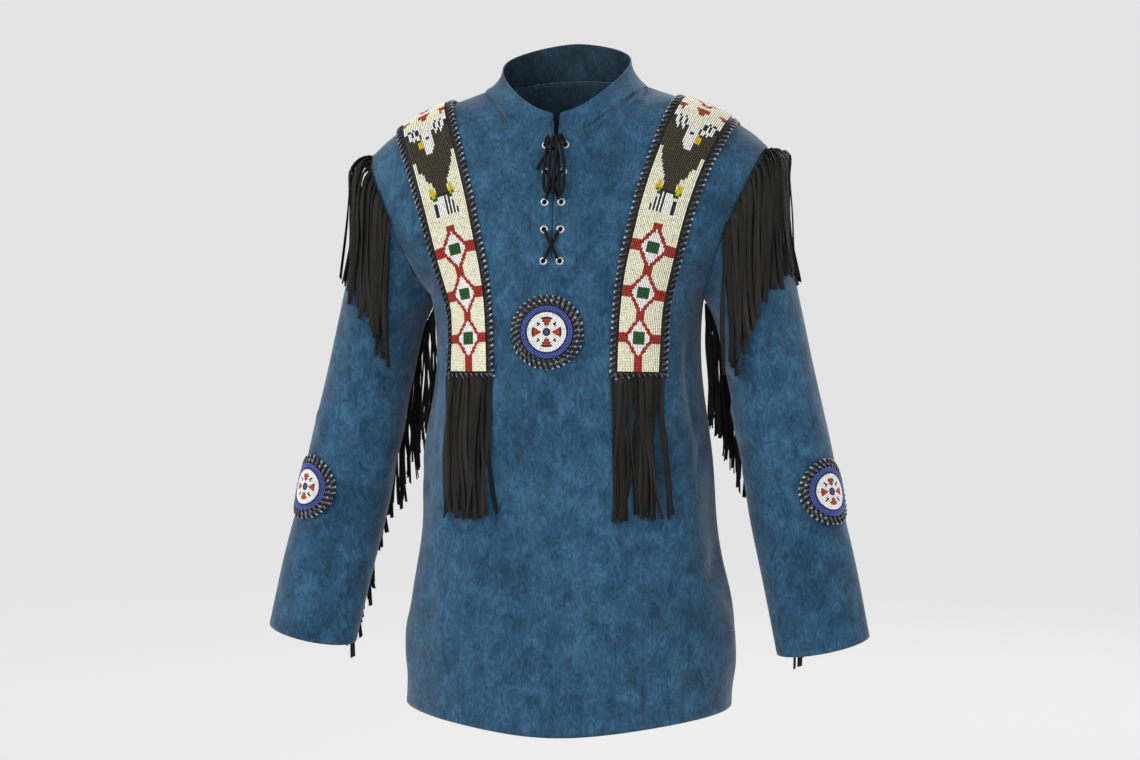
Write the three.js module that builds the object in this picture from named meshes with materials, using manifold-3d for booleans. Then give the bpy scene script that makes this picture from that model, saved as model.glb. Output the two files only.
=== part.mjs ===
// A pull-over shirt of blue suede, filled out as it is worn but empty: a laced neck slit with a stand collar,
// beaded strips over both shoulders, a beaded rosette on the chest and on each forearm, and black leather
// fringe at the armholes, down the backs of the sleeves and below the strips.
// Millimetres. +Z is up, the front faces -Y, and the origin is in the neck opening, level with the shoulders.

import * as THREE from "three";
import { mergeVertices } from "three/addons/utils/BufferGeometryUtils.js";
import Module from "manifold-3d";

// Leather and gaps
const SUEDE = 1.6; // thickness of the suede wall
const SEAM_GAP = 0.3; // between pieces sewn edge to edge
const ON_TOP_GAP = 0.35; // between a piece and the one that it lies on
const ROUND_GAP = 1.65; // the same on the sleeve, whose flat facets bend more sharply
const ROUNDNESS = 2.3; // exponent of the body's oval sections, 2 being an ellipse

// The body's sections from the hem to the neck: half width at the sides, and depth to the front and back
const BODY_SECTIONS = [
  { z: -800, half: 206, front: 138, back: 126 },
  { z: -741, half: 204, front: 134, back: 122 },
  { z: -651, half: 202, front: 128, back: 114 },
  { z: -591, half: 193, front: 122, back: 107 },
  { z: -531, half: 184, front: 118, back: 101 },
  { z: -486, half: 183, front: 118, back: 100 },
  { z: -426, half: 179, front: 121, back: 103 },
  { z: -381, half: 170, front: 123, back: 107 },
  { z: -321, half: 165, front: 123, back: 111 },
  { z: -252, half: 169, front: 120, back: 114 },
  { z: -150, half: 209, front: 108, back: 113 },
  { z: -100, half: 234, front: 98, back: 105 },
  { z: -66, half: 248, front: 89, back: 96 },
  { z: -30, half: 201, front: 78, back: 84 },
  { z: 9, half: 102, front: 65, back: 72 },
  { z: 34, half: 88, front: 58, back: 65 },
];
// The line of the shoulders, from the tip of the shoulder to inside the neck
const SHOULDER_LINE = [
  { z: -66, half: 248 },
  { z: -51, half: 232 },
  { z: -36, half: 210 },
  { z: -21, half: 184 },
  { z: -6, half: 147 },
  { z: 9, half: 102 },
  { z: 34, half: 84 },
];
const UNDERARM = { x: 169, z: -252 }; // where side seam, armhole and sleeve seam meet
const SHOULDER_TIP = { x: 248, z: -66 }; // top of the armhole
const ARMHOLE_HALF_DEPTH = 75; // front to back, at the armhole's middle
const HEM = { side: -754, middle: -776 }; // the hem dips at the front and back

// The neck seam and the collar's upper edge by angle, 0 at the front and 180 at the back
const COLLAR = [
  { angle: 0, seam: -60, top: -30, reach: 85 },
  { angle: 28, seam: -45, top: -17, reach: 85 },
  { angle: 50, seam: -12, top: 8, reach: 85 },
  { angle: 72, seam: 6, top: 29, reach: 84 },
  { angle: 90, seam: 10, top: 43, reach: 80 },
  { angle: 120, seam: 19, top: 59, reach: 73 },
  { angle: 150, seam: 26, top: 70, reach: 64 },
  { angle: 180, seam: 28, top: 74, reach: 61 },
];
// Half the width of the neck slit by height, and how far down it is open
const SLIT = [
  { z: -230, half: 0.8 },
  { z: -150, half: 1 },
  { z: -100, half: 1.8 },
  { z: -60, half: 3.6 },
  { z: -22, half: 6.8 },
];
const SLIT_BOTTOM = -222;

// The seam between front and side front, from the hem to the shoulder line, by height
const FRONT_SEAM = [
  { z: -800, x: 112 },
  { z: -520, x: 109 },
  { z: -341, x: 101 },
  { z: -261, x: 105 },
  { z: -201, x: 118 },
  { z: -141, x: 133 },
  { z: -78, x: 153 },
  { z: -18, x: 177 },
];

// Soft folds of the body: angle round the body, height span, lean in degrees, half width and height, which is
// negative for a trough
const BODY_FOLDS = [
  { angle: 66, low: -700, high: -250, lean: -9, wide: 17, high_mm: 5 },
  { angle: 79, low: -620, high: -290, lean: -4, wide: 13, high_mm: -5 },
  { angle: 54, low: -560, high: -330, lean: 5, wide: 15, high_mm: -3.5 },
  { angle: 86, low: -740, high: -560, lean: 8, wide: 20, high_mm: 6 },
  { angle: 34, low: -770, high: -480, lean: -5, wide: 26, high_mm: 3 },
  { angle: 8, low: -560, high: -330, lean: 6, wide: 22, high_mm: 3 },
  { angle: -14, low: -700, high: -420, lean: -6, wide: 30, high_mm: -3 },
  { angle: -58, low: -640, high: -300, lean: 7, wide: 16, high_mm: 4.5 },
  { angle: -72, low: -560, high: -280, lean: 10, wide: 13, high_mm: -5 },
  { angle: -84, low: -520, high: -350, lean: -8, wide: 15, high_mm: 5 },
  { angle: -46, low: -770, high: -520, lean: 4, wide: 26, high_mm: 3.5 },
  { angle: 102, low: -700, high: -260, lean: 7, wide: 16, high_mm: 5.5 },
  { angle: 118, low: -640, high: -230, lean: 12, wide: 15, high_mm: -5 },
  { angle: 148, low: -740, high: -380, lean: -4, wide: 24, high_mm: 4.5 },
  { angle: 176, low: -690, high: -300, lean: 5, wide: 22, high_mm: -4 },
  { angle: -156, low: -760, high: -360, lean: 4, wide: 24, high_mm: 4.5 },
  { angle: -128, low: -600, high: -240, lean: -11, wide: 15, high_mm: -5 },
  { angle: -106, low: -720, high: -270, lean: -6, wide: 17, high_mm: 5.5 },
];

// The sleeve's sections from armhole to cuff: its outer and inner edge seen from the front, and its depth
const SLEEVE_SECTIONS = [
  { outX: 248, outZ: -66, inX: 169, inZ: -252, midY: 0, deep: 75 },
  { outX: 255, outZ: -86, inX: 172, inZ: -257, midY: 0, deep: 75 },
  { outX: 262, outZ: -120, inX: 176, inZ: -265, midY: -1, deep: 74 },
  { outX: 270, outZ: -165, inX: 181, inZ: -277, midY: -2, deep: 72 },
  { outX: 280, outZ: -215, inX: 187, inZ: -294, midY: -4, deep: 68 },
  { outX: 291, outZ: -265, inX: 192, inZ: -317, midY: -6, deep: 63 },
  { outX: 302, outZ: -318, inX: 197, inZ: -349, midY: -9, deep: 59 },
  { outX: 315, outZ: -375, inX: 205, inZ: -396, midY: -12, deep: 56 },
  { outX: 330, outZ: -440, inX: 217, inZ: -459, midY: -17, deep: 54 },
  { outX: 342, outZ: -505, inX: 229, inZ: -524, midY: -24, deep: 51 },
  { outX: 357, outZ: -565, inX: 243, inZ: -586, midY: -32, deep: 47 },
  { outX: 367, outZ: -615, inX: 254, inZ: -638, midY: -38, deep: 44 },
  { outX: 375, outZ: -658, inX: 263, inZ: -681, midY: -43, deep: 42 },
];
const CUFF_DIP = 0.14; // how much lower the front of the cuff hangs, as a share of its depth

// Soft folds of a sleeve: angle round it (0 outer edge, 90 front, 180 inner edge), place along it from 0 to 1,
// slant in degrees for the whole turn, half length along the sleeve in mm, half width in degrees, and height
const SLEEVE_FOLDS = [
  { angle: 150, at: 0.14, long: 60, wide: 16, high_mm: -5 },
  { angle: 128, at: 0.2, long: 75, wide: 14, high_mm: 4.5 },
  { angle: 170, at: 0.42, long: 36, wide: 34, high_mm: -4.5 },
  { angle: 160, at: 0.5, long: 22, wide: 40, high_mm: 4 },
  { angle: 176, at: 0.57, long: 24, wide: 36, high_mm: -4 },
  { angle: 60, at: 0.66, long: 90, wide: 20, high_mm: 2.5 },
  { angle: 105, at: 0.82, long: 90, wide: 18, high_mm: -2.5 },
  { angle: 214, at: 0.14, long: 60, wide: 16, high_mm: -5 },
  { angle: 300, at: 0.4, long: 70, wide: 20, high_mm: 3.5 },
  { angle: 262, at: 0.52, long: 24, wide: 40, high_mm: -4 },
  { angle: 240, at: 0.6, long: 26, wide: 34, high_mm: 4 },
  { angle: 320, at: 0.8, long: 90, wide: 20, high_mm: -3 },
];

// The beaded strips: one lies along each front seam, crosses the shoulder line and runs a little down the back
const STRIP = { half: 34, beadHalf: 25, frontEnd: -349, base: 1.8, beads: 2, border: 8 };
const BACK_LANE = [
  { z: -800, x: 104 },
  { z: -262, x: 112 },
  { z: -170, x: 126 },
  { z: -130, x: 138 },
  { z: -80, x: 156 },
  { z: -18, x: 177 },
];
const BACK_LANE_BEND = -262;
const STRIP_BACK_ROW = 15; // the panels' row at which a strip ends on the back
const ROSETTE = { base: 44, beads: 31, sleeveBase: 39.5, sleeveBeads: 28.5, thick: 1.8, beadThick: 2 };
const CHEST_ROSETTE = { x: -4, z: -294 };
const SLEEVE_ROSETTE = { left: 38, right: 50, at: 0.655 }; // angles round the sleeve, and place along it

// Neck lacing
const EYELET_ROWS = [-68, -101, -138, -171, -209]; // heights of the pairs, from the top
const EYELET = { out: 5.4, hole: 2.7, high: 1.3, fromSlit: 9.2 };
const LACE = 1.7; // radius of the lace

// Fringe strands
const ARMHOLE_FRINGE = { strands: 26, long: 176, wide: 5.6, thick: 1.6, reach: 104, band: 8, layer: 2.6 };
const SLEEVE_FRINGE = { strands: 26, long: 134, wide: 5, thick: 1.6, from: 0.035, to: 0.745, band: 7 };
const STRIP_FRINGE = { strands: 12, long: 166, wide: 4.1, thick: 1.5, band: 9 };

// Mesh sizes: rows of cells from the hem to the strips' lower ends and from there to the shoulder line, the
// rows of the second stretch that lie below the underarm, and columns of each part of a panel
const CELLS = { low: 9, high: 12, underarm: 3, side: 4, ridge: 1, neck: 4, sleeveRound: 16, sleeveLong: 16 };

const radians = THREE.MathUtils.degToRad;
const point = (x, y, z) => new THREE.Vector3(x, y, z);
const mix = THREE.MathUtils.lerp;
const steps = (n) => Array.from({ length: n + 1 }, (_, i) => i / n);

// A smooth curve through a table's rows, without overshoot: value `column` as a function of `by`
function through(rows, by, column) {
  const x = rows.map((r) => r[by]);
  const y = rows.map((r) => r[column]);
  const slope = x.slice(1).map((_, i) => (y[i + 1] - y[i]) / (x[i + 1] - x[i]));
  const tangent = x.map((_, i) => {
    if (i === 0 || i === x.length - 1) return slope[Math.min(i, slope.length - 1)];
    const [a, b] = [slope[i - 1], slope[i]];
    return a * b <= 0 ? 0 : (2 * a * b) / (a + b);
  });
  return (at) => {
    const t = Math.min(Math.max(at, x[0]), x[x.length - 1]);
    const i = Math.min(x.findLastIndex((v) => v <= t), x.length - 2);
    const wide = x[i + 1] - x[i];
    const u = (t - x[i]) / wide;
    return (
      y[i] * (1 + 2 * u) * (1 - u) ** 2 +
      y[i + 1] * u * u * (3 - 2 * u) +
      wide * (tangent[i] * u * (1 - u) ** 2 - tangent[i + 1] * u * u * (1 - u))
    );
  };
}

// A soft bump of height 1, by distance in half widths
const bump = (distance) => Math.exp(-distance * distance);
const fade = THREE.MathUtils.smoothstep;

// The body as a surface of angle (radians, 0 at the front, turning to +X) and height
const bodyHalf = through(BODY_SECTIONS, "z", "half");
const shoulderHalf = through(SHOULDER_LINE, "z", "half");
const frontDepth = through(BODY_SECTIONS, "z", "front");
const backDepth = through(BODY_SECTIONS, "z", "back");

// The armhole is an ellipse in a leaning plane: its place by height
function armhole(z) {
  const middle = (UNDERARM.z + SHOULDER_TIP.z) / 2;
  const half = (SHOULDER_TIP.z - UNDERARM.z) / 2;
  const share = THREE.MathUtils.clamp((z - middle) / half, -1, 1);
  return {
    x: mix(UNDERARM.x, SHOULDER_TIP.x, (share + 1) / 2),
    y: ARMHOLE_HALF_DEPTH * Math.sqrt(1 - share * share),
  };
}

// Half width of the oval that the body follows at a height, wide enough to meet the armhole's edge
function ovalHalf(z, depth) {
  if (z <= UNDERARM.z) return bodyHalf(z);
  if (z >= SHOULDER_TIP.z) return shoulderHalf(z);
  const edge = armhole(z);
  return edge.x / (1 - (edge.y / depth) ** ROUNDNESS) ** (1 / ROUNDNESS);
}

function plainBody(angle, z) {
  const depth = Math.cos(angle) >= 0 ? frontDepth(z) : backDepth(z);
  const half = ovalHalf(z, depth);
  const across = Math.abs(Math.sin(angle) / half) ** ROUNDNESS;
  const along = Math.abs(Math.cos(angle) / depth) ** ROUNDNESS;
  const reach = (across + along) ** (-1 / ROUNDNESS);
  return point(reach * Math.sin(angle), -reach * Math.cos(angle), z);
}

// How far the folds lift the body's cloth at a place
function bodyFold(angle, z) {
  let lift = 0;
  for (const fold of BODY_FOLDS) {
    const middle = (fold.low + fold.high) / 2;
    const centre = radians(fold.angle) + radians(fold.lean) * ((z - middle) / 200);
    const turn = Math.atan2(Math.sin(angle - centre), Math.cos(angle - centre));
    const along = fade(z, fold.low - 40, fold.low + 70) * (1 - fade(z, fold.high - 70, fold.high + 30));
    lift += fold.high_mm * bump((turn * 140) / fold.wide) * along;
  }
  return lift;
}

// The normal of any surface of two numbers, by small differences
function normalOf(surface, a, b, stepA, stepB) {
  const alongA = surface(a + stepA, b).sub(surface(a - stepA, b));
  const alongB = surface(a, b + stepB).sub(surface(a, b - stepB));
  return alongA.cross(alongB).normalize();
}

const SMALL_ANGLE = 0.01;
const plainBodyNormal = (angle, z) => normalOf(plainBody, angle, z, SMALL_ANGLE, 1.5);

// The body's outer face
function body(angle, z) {
  return plainBody(angle, z).addScaledVector(plainBodyNormal(angle, z), bodyFold(angle, z));
}
const bodyNormal = (angle, z) => normalOf(body, angle, z, SMALL_ANGLE, 1.5);

// The angle round the body where it is `x` mm from the middle at height z, on the front or the back
function angleAt(x, z, back = false) {
  const depth = back ? backDepth(z) : frontDepth(z);
  const share = Math.min(Math.abs(x) / ovalHalf(z, depth), 1);
  const y = depth * (1 - share ** ROUNDNESS) ** (1 / ROUNDNESS);
  const turn = Math.atan2(Math.abs(x), y);
  return Math.sign(x) * (back ? Math.PI - turn : turn);
}

// The +X sleeve as a surface of angle (radians, 0 at its outer edge, 90 degrees at the front) and place along
// it from 0 at the armhole to 1 at the cuff
const sleeveRows = SLEEVE_SECTIONS.map((row, i, all) => {
  const runs = all.slice(0, i + 1).map((r, k) => {
    const before = all[Math.max(k - 1, 0)];
    const out = Math.hypot(r.outX - before.outX, r.outZ - before.outZ);
    return (out + Math.hypot(r.inX - before.inX, r.inZ - before.inZ)) / 2;
  });
  return { ...row, run: runs.reduce((sum, run) => sum + run, 0) };
});
const SLEEVE_LENGTH = sleeveRows[sleeveRows.length - 1].run;
const sleeveColumn = Object.fromEntries(
  ["outX", "outZ", "inX", "inZ", "midY", "deep"].map((name) => [name, through(sleeveRows, "run", name)]),
);

function sleeveFold(angle, at) {
  let lift = 0;
  for (const fold of SLEEVE_FOLDS) {
    const turn = Math.atan2(Math.sin(angle - radians(fold.angle)), Math.cos(angle - radians(fold.angle)));
    const along = ((at - fold.at) * SLEEVE_LENGTH) / fold.long;
    lift += fold.high_mm * bump(turn / radians(fold.wide)) * bump(along);
  }
  return lift * fade(at, 0, 0.09) * (1 - 0.6 * fade(at, 0.9, 1));
}

function sleeve(angle, at) {
  const run = at * SLEEVE_LENGTH;
  const out = point(sleeveColumn.outX(run), 0, sleeveColumn.outZ(run));
  const inner = point(sleeveColumn.inX(run), 0, sleeveColumn.inZ(run));
  const middle = out.clone().add(inner).multiplyScalar(0.5);
  const half = out.clone().sub(inner).multiplyScalar(0.5);
  const deep = sleeveColumn.deep(run);
  const lift = sleeveFold(angle, at);
  const grow = 1 + lift / deep;
  const dip = CUFF_DIP * deep * fade(at, 0.7, 1) * Math.sin(angle);
  return middle
    .addScaledVector(half, Math.cos(angle) * grow)
    .add(point(0, sleeveColumn.midY(run) - deep * Math.sin(angle) * grow, -dip));
}
const sleeveNormal = (angle, at) => normalOf(sleeve, angle, at, 0.02, 0.002);

// A closed wall between two sheets of points, both as rows of columns. `round` closes each row on itself, a
// cell that `has` refuses is left open, and `leans` says which columns of cells have the other diagonal.
function wall(outer, inner, { round = false, has = () => true, leans = () => false } = {}) {
  const rows = outer.length;
  const columns = outer[0].length;
  const cellsAcross = round ? columns : columns - 1;
  const positions = [...outer.flat(), ...inner.flat()].flatMap((p) => [p.x, p.y, p.z]);
  const at = (layer, i, j) => layer * rows * columns + i * columns + (j % columns);
  const there = (i, j) => {
    if (i < 0 || i >= rows - 1) return false;
    if (!round && (j < 0 || j >= cellsAcross)) return false;
    return has(i, (j + cellsAcross) % cellsAcross);
  };
  const faces = [];
  const quad = (a, b, c, d) => faces.push(a, b, c, a, c, d);
  for (let i = 0; i < rows - 1; i++)
    for (let j = 0; j < cellsAcross; j++) {
      if (!there(i, j)) continue;
      const corners = [[i, j], [i, j + 1], [i + 1, j + 1], [i + 1, j]];
      const beside = [[i - 1, j], [i, j + 1], [i + 1, j], [i, j - 1]];
      const diagonal = leans(j) ? [...corners.slice(1), corners[0]] : corners;
      const [a, b, c, d] = diagonal;
      quad(...[a, b, c, d].map(([r, k]) => at(0, r, k)));
      quad(...[a, d, c, b].map(([r, k]) => at(1, r, k)));
      beside.forEach(([r, c], side) => {
        if (there(r, c)) return;
        const [from, to] = [corners[side], corners[(side + 1) % 4]];
        quad(at(0, ...to), at(0, ...from), at(1, ...from), at(1, ...to));
      });
    }
  return facingOut(positions, faces);
}

// A geometry whose faces point out, whichever way round its triangles were listed
function facingOut(positions, faces) {
  const geometry = new THREE.BufferGeometry();
  geometry.setAttribute("position", new THREE.BufferAttribute(new Float32Array(positions), 3));
  geometry.setIndex(faces);
  const corner = (i) => point(...positions.slice(3 * i, 3 * i + 3));
  let volume = 0;
  for (let i = 0; i < faces.length; i += 3) {
    const [a, b, c] = [faces[i], faces[i + 1], faces[i + 2]].map(corner);
    volume += a.dot(b.cross(c));
  }
  if (volume < 0) geometry.setIndex(faces.slice().reverse());
  return geometry;
}

// A wall of suede from a grid of places on a surface, moved out by `lift`
function suedeWall(places, surface, normal, { thick = SUEDE, lift = 0, ...rest } = {}) {
  const outer = places.map((row) => row.map((p) => surface(...p).addScaledVector(normal(...p), lift + thick)));
  const inner = places.map((row) => row.map((p) => surface(...p).addScaledVector(normal(...p), lift)));
  return wall(outer, inner, rest);
}

// Sizes of the body's edges. Each edge is a list of [angle, height] from the hem up, shared by the panels on
// both its sides, and has a place for each row of cells.
const SIDE = Math.PI / 2;
const ROWS = CELLS.low + CELLS.high;
const hemHeight = (angle) => mix(HEM.side, HEM.middle, Math.cos(angle) ** 2);
const neckSeam = through(COLLAR, "angle", "seam");
const neckHeight = (angle) => neckSeam(THREE.MathUtils.radToDeg(Math.min(angle, 2 * Math.PI - angle)));
const between = (a, b, n) => steps(n).map((t) => mix(a, b, t));
const joined = (...lists) => lists.reduce((all, list) => [...all, ...list.slice(1)]);

function sideEdge(back) {
  const low = between(HEM.side, STRIP.frontEnd, CELLS.low);
  const seam = joined(low, between(STRIP.frontEnd, UNDERARM.z, CELLS.underarm)).map((z) => [SIDE, z]);
  const hole = steps(CELLS.high - CELLS.underarm).map((t) => {
    const z = mix(UNDERARM.z, SHOULDER_TIP.z, (1 - Math.cos(Math.PI * t)) / 2);
    const edge = armhole(z);
    const turn = Math.atan2(edge.x, edge.y);
    return [back ? Math.PI - turn : turn, z];
  });
  return joined(seam, hole);
}

// The shoulder line's height where it is x mm from the middle
function ridgeHeight(x) {
  let [low, high] = [SHOULDER_TIP.z, SHOULDER_LINE.at(-1).z];
  for (let i = 0; i < 40; i++) {
    const middle = (low + high) / 2;
    if (shoulderHalf(middle) > x) low = middle;
    else high = middle;
  }
  return (low + high) / 2;
}

// A lane runs from the hem to the shoulder line beside the seam that the strip covers, `offset` mm from it.
// Lanes are the panels' columns there, and the strips are made from the same lanes.
const RIDGE_X = FRONT_SEAM.at(-1).x;
const RIDGE_Z = FRONT_SEAM.at(-1).z;
const laneWidth = (column, z, depth) => {
  const lean = Math.hypot(1, (column(z + 4) - column(z - 4)) / 8);
  const share = column(z) / ovalHalf(z, depth);
  const turn = (depth / ovalHalf(z, depth)) * share ** (ROUNDNESS - 1);
  const slope = turn * (1 - Math.min(share, 0.99) ** ROUNDNESS) ** (1 / ROUNDNESS - 1);
  return mix(lean / Math.hypot(1, slope), lean, fade(z, -120, -30));
};
function lane(offset, back) {
  const column = through(back ? BACK_LANE : FRONT_SEAM, "z", "x");
  const bendZ = back ? BACK_LANE_BEND : STRIP.frontEnd;
  const rowsLow = back ? CELLS.low + CELLS.underarm : CELLS.low;
  const top = ridgeHeight(RIDGE_X + offset * laneWidth(column, RIDGE_Z, 1));
  return steps(ROWS).map((_, i) => {
    const t = (i - rowsLow) / (ROWS - rowsLow);
    const rise = 1 - (1 - Math.max(t, 0)) ** 1.7;
    const seamZ = t < 0 ? mix(bendZ, HEM.middle, -t * ((ROWS - rowsLow) / rowsLow)) : mix(bendZ, RIDGE_Z, rise);
    const z = t < 0 ? seamZ : mix(bendZ, top, rise);
    const depth = back ? backDepth(z) : frontDepth(z);
    const x = column(seamZ) + offset * laneWidth(column, seamZ, depth);
    const angle = i === ROWS ? SIDE : angleAt(x, z, back);
    return [angle, i === 0 ? hemHeight(angle) : z];
  });
}
const STRIP_LANES = [-STRIP.half, -STRIP.beadHalf, 0, STRIP.beadHalf, STRIP.half];
const frontLanes = STRIP_LANES.map((offset) => lane(offset, false));
const backLanes = STRIP_LANES.map((offset) => lane(offset, true));
const rowsOf = (columns) => columns[0].map((_, i) => columns.map((column) => column[i]));

const neckEdge = (to, n) => between(SIDE, to, n).map((angle) => [angle, neckHeight(angle)]);
const ridgeEdge = (from, to, n) => between(from, to, n).map((z) => [SIDE, z]);
const middleEdge = (angle) =>
  joined(
    between(HEM.middle, STRIP.frontEnd, CELLS.low),
    between(STRIP.frontEnd, neckHeight(angle), CELLS.high),
  ).map((z) => [angle, z]);

// Places between two edges, whose spacing follows the upper edge near it. `bend` eases the rows' heights, so
// that they leave the underarm level.
function loft(left, right, top, bend = (u) => u) {
  const blend = (a, b, t) => [mix(a[0], b[0], t), mix(a[1], b[1], bend(t))];
  return left.map((_, i) => {
    const weight = Math.max(0, (i - CELLS.low) / CELLS.high) ** 3;
    return top.map((place, j) => {
      const u = j / (top.length - 1);
      const level = blend(left[i], right[i], u);
      const even = blend(top[0], top.at(-1), u);
      const [angle, z] = level.map((value, k) => value + weight * (place[k] - even[k]));
      return [angle, i === 0 ? hemHeight(angle) : z];
    });
  });
}
const beside = (...grids) => grids[0].map((_, i) => joined(...grids.map((grid) => grid[i])));
const turned = (grid, side) => grid.map((row) => row.map(([angle, z]) => [side * angle, z]));
const opposite = (grid) => grid.map((row) => row.map(([angle, z]) => [2 * Math.PI - angle, z]).reverse());

// Moves the outermost rows and columns of a grid in by half a seam gap
function insetGrid(grid, amount) {
  const moved = grid.map((row) => row.map((p) => p.clone()));
  const pull = (i, j, toI, toJ) => {
    const way = grid[toI][toJ].clone().sub(grid[i][j]);
    moved[i][j].addScaledVector(way.normalize(), amount);
  };
  const [m, n] = [grid.length - 1, grid[0].length - 1];
  for (let j = 0; j <= n; j++) {
    pull(0, j, 1, j);
    pull(m, j, m - 1, j);
  }
  for (let i = 0; i <= m; i++) {
    pull(i, 0, i, 1);
    pull(i, n, i, n - 1);
  }
  return moved;
}

function bodyPanel(places, options) {
  const outer = insetGrid(places.map((row) => row.map((p) => body(...p))), SEAM_GAP / 2);
  const under = places.map((row) => row.map((p) => body(...p).addScaledVector(bodyNormal(...p), -SUEDE)));
  return wall(outer, insetGrid(under, SEAM_GAP / 2), options);
}

// The front, between the two front seams, with the neck slit down its middle
function front() {
  const top = joined(ridgeEdge(frontLanes[0][ROWS][1], neckHeight(SIDE), CELLS.ridge), neckEdge(0, CELLS.neck));
  const middle = loft(middleEdge(0), frontLanes[0], top.slice().reverse());
  const half = beside(middle, rowsOf(frontLanes.slice(0, 3)));
  const slitHalf = through(SLIT, "z", "half");
  const places = half.map((row) => {
    const z = row[0][1];
    const edge = [slitHalf(z) / frontDepth(z), z];
    const right = [edge, ...row.slice(1)];
    return [...right.map(([angle, height]) => [-angle, height]).reverse(), ...right];
  });
  const slit = half[0].length - 1;
  const open = places.findIndex((row) => row[slit][1] > SLIT_BOTTOM);
  return bodyPanel(places, { has: (i, j) => j !== slit || i < open, leans: (j) => j < slit });
}

function sideFront(side) {
  const outerLane = frontLanes.at(-1);
  const top = ridgeEdge(outerLane[ROWS][1], SHOULDER_TIP.z, CELLS.side);
  const level = (u) => 1 - (1 - u) ** 2;
  const places = beside(rowsOf(frontLanes.slice(2)), loft(outerLane, sideEdge(false), top, level));
  return bodyPanel(turned(places, side));
}

function back() {
  const [inner, outer] = [backLanes[0], backLanes.at(-1)];
  const outTop = ridgeEdge(SHOULDER_TIP.z, outer[ROWS][1], CELLS.side);
  const inTop = joined(ridgeEdge(inner[ROWS][1], neckHeight(SIDE), CELLS.ridge), neckEdge(Math.PI, CELLS.neck));
  const half = beside(
    loft(sideEdge(true), outer, outTop, (u) => u ** 2),
    rowsOf(backLanes.slice().reverse()),
    loft(inner, middleEdge(Math.PI), inTop),
  );
  return bodyPanel(beside(half, opposite(half)), { leans: (j) => j >= half[0].length - 1 });
}

// The collar rises from the neck seam and leans in a little; its two ends stand at the slit
function collar() {
  const topHeight = through(COLLAR, "angle", "top");
  const topReach = through(COLLAR, "angle", "reach");
  const slitHalf = through(SLIT, "z", "half");
  const around = joined(between(0, SIDE, CELLS.neck), between(SIDE, Math.PI, CELLS.neck));
  const turns = [...around, ...around.slice(0, -1).reverse().map((angle) => 2 * Math.PI - angle)];
  const columns = turns.map((angle, k) => {
    const degrees = THREE.MathUtils.radToDeg(Math.min(angle, 2 * Math.PI - angle));
    const foot = plainBody(angle, neckHeight(angle));
    const atSlit = k === 0 ? 1 : k === turns.length - 1 ? -1 : 0;
    return [0, 0.35, 0.7, 1].map((share) => {
      const z = mix(neckHeight(angle) + SEAM_GAP, topHeight(degrees), share);
      const reach = mix(Math.hypot(foot.x, foot.y), topReach(degrees), 1 - (1 - share) ** 2);
      const turn = atSlit ? (atSlit * slitHalf(z)) / reach : angle;
      return point(reach * Math.sin(turn), -reach * Math.cos(turn), z);
    });
  });
  const inner = columns.map((column, k) =>
    column.map((p, i) => {
      const along = (columns[k + 1] ?? columns[k])[i].clone().sub((columns[k - 1] ?? columns[k])[i]);
      return p.clone().addScaledVector(point(-along.y, along.x, 0).normalize(), SUEDE);
    }),
  );
  return wall(rowsOf(columns), rowsOf(inner));
}

// The sleeve's wall. At the armhole its thickness lies in the plane of the rim, which stays a seam's gap away
// from the body all round.
function sleeveWall() {
  const turns = between(0, 2 * Math.PI, CELLS.sleeveRound).slice(0, -1);
  const places = steps(CELLS.sleeveLong).map((t) => {
    const at = t ** 1.25;
    return turns.map((angle) => [angle, at]);
  });
  const awayFromBody = point(SHOULDER_TIP.z - UNDERARM.z, 0, UNDERARM.x - SHOULDER_TIP.x).normalize();
  const outer = places.map((row) => row.map(([angle, at]) => sleeve(angle, at)));
  outer[0].forEach((p) => p.addScaledVector(awayFromBody, SEAM_GAP));
  const inner = places.map((row, i) =>
    row.map(([angle, at], j) => {
      const normal = sleeveNormal(angle, Math.max(at, 0.003));
      if (i === 0) {
        const across = normal.dot(awayFromBody);
        if (across > 0) normal.addScaledVector(awayFromBody, -across).normalize();
      }
      return outer[i][j].clone().addScaledVector(normal, -SUEDE);
    }),
  );
  return wall(outer, inner, { round: true });
}

// A strip's rows of places over the form, front end first, from the same lanes as the panels under it
function stripPlaces(lanes) {
  const [first, last] = [STRIP_LANES.indexOf(lanes[0]), STRIP_LANES.indexOf(lanes.at(-1))];
  const rows = (columns) => rowsOf(columns.slice(first, last + 1));
  const down = rows(backLanes).slice(STRIP_BACK_ROW, ROWS).reverse();
  return [...rows(frontLanes).slice(CELLS.low), ...down];
}

function stripBase(side) {
  const places = turned(stripPlaces(STRIP_LANES), side);
  return suedeWall(places, body, bodyNormal, { lift: ON_TOP_GAP, thick: STRIP.base });
}

// The beadwork stops short of the strip's ends by the width of the laced border
function stripBeadwork(side) {
  const rows = turned(stripPlaces(STRIP_LANES.slice(1, -1)), side);
  const lifted = (lift) => {
    const points = rows.map((row) => row.map((p) => body(...p).addScaledVector(bodyNormal(...p), lift)));
    const shorten = (end, next) =>
      points.at(end).forEach((p, j) => {
        const way = points.at(next)[j].clone().sub(p);
        p.addScaledVector(way.normalize(), STRIP.border);
      });
    shorten(0, 1);
    shorten(-1, -2);
    return points;
  };
  const low = 2 * ON_TOP_GAP + STRIP.base;
  return wall(lifted(low + STRIP.beads), lifted(low));
}

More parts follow.
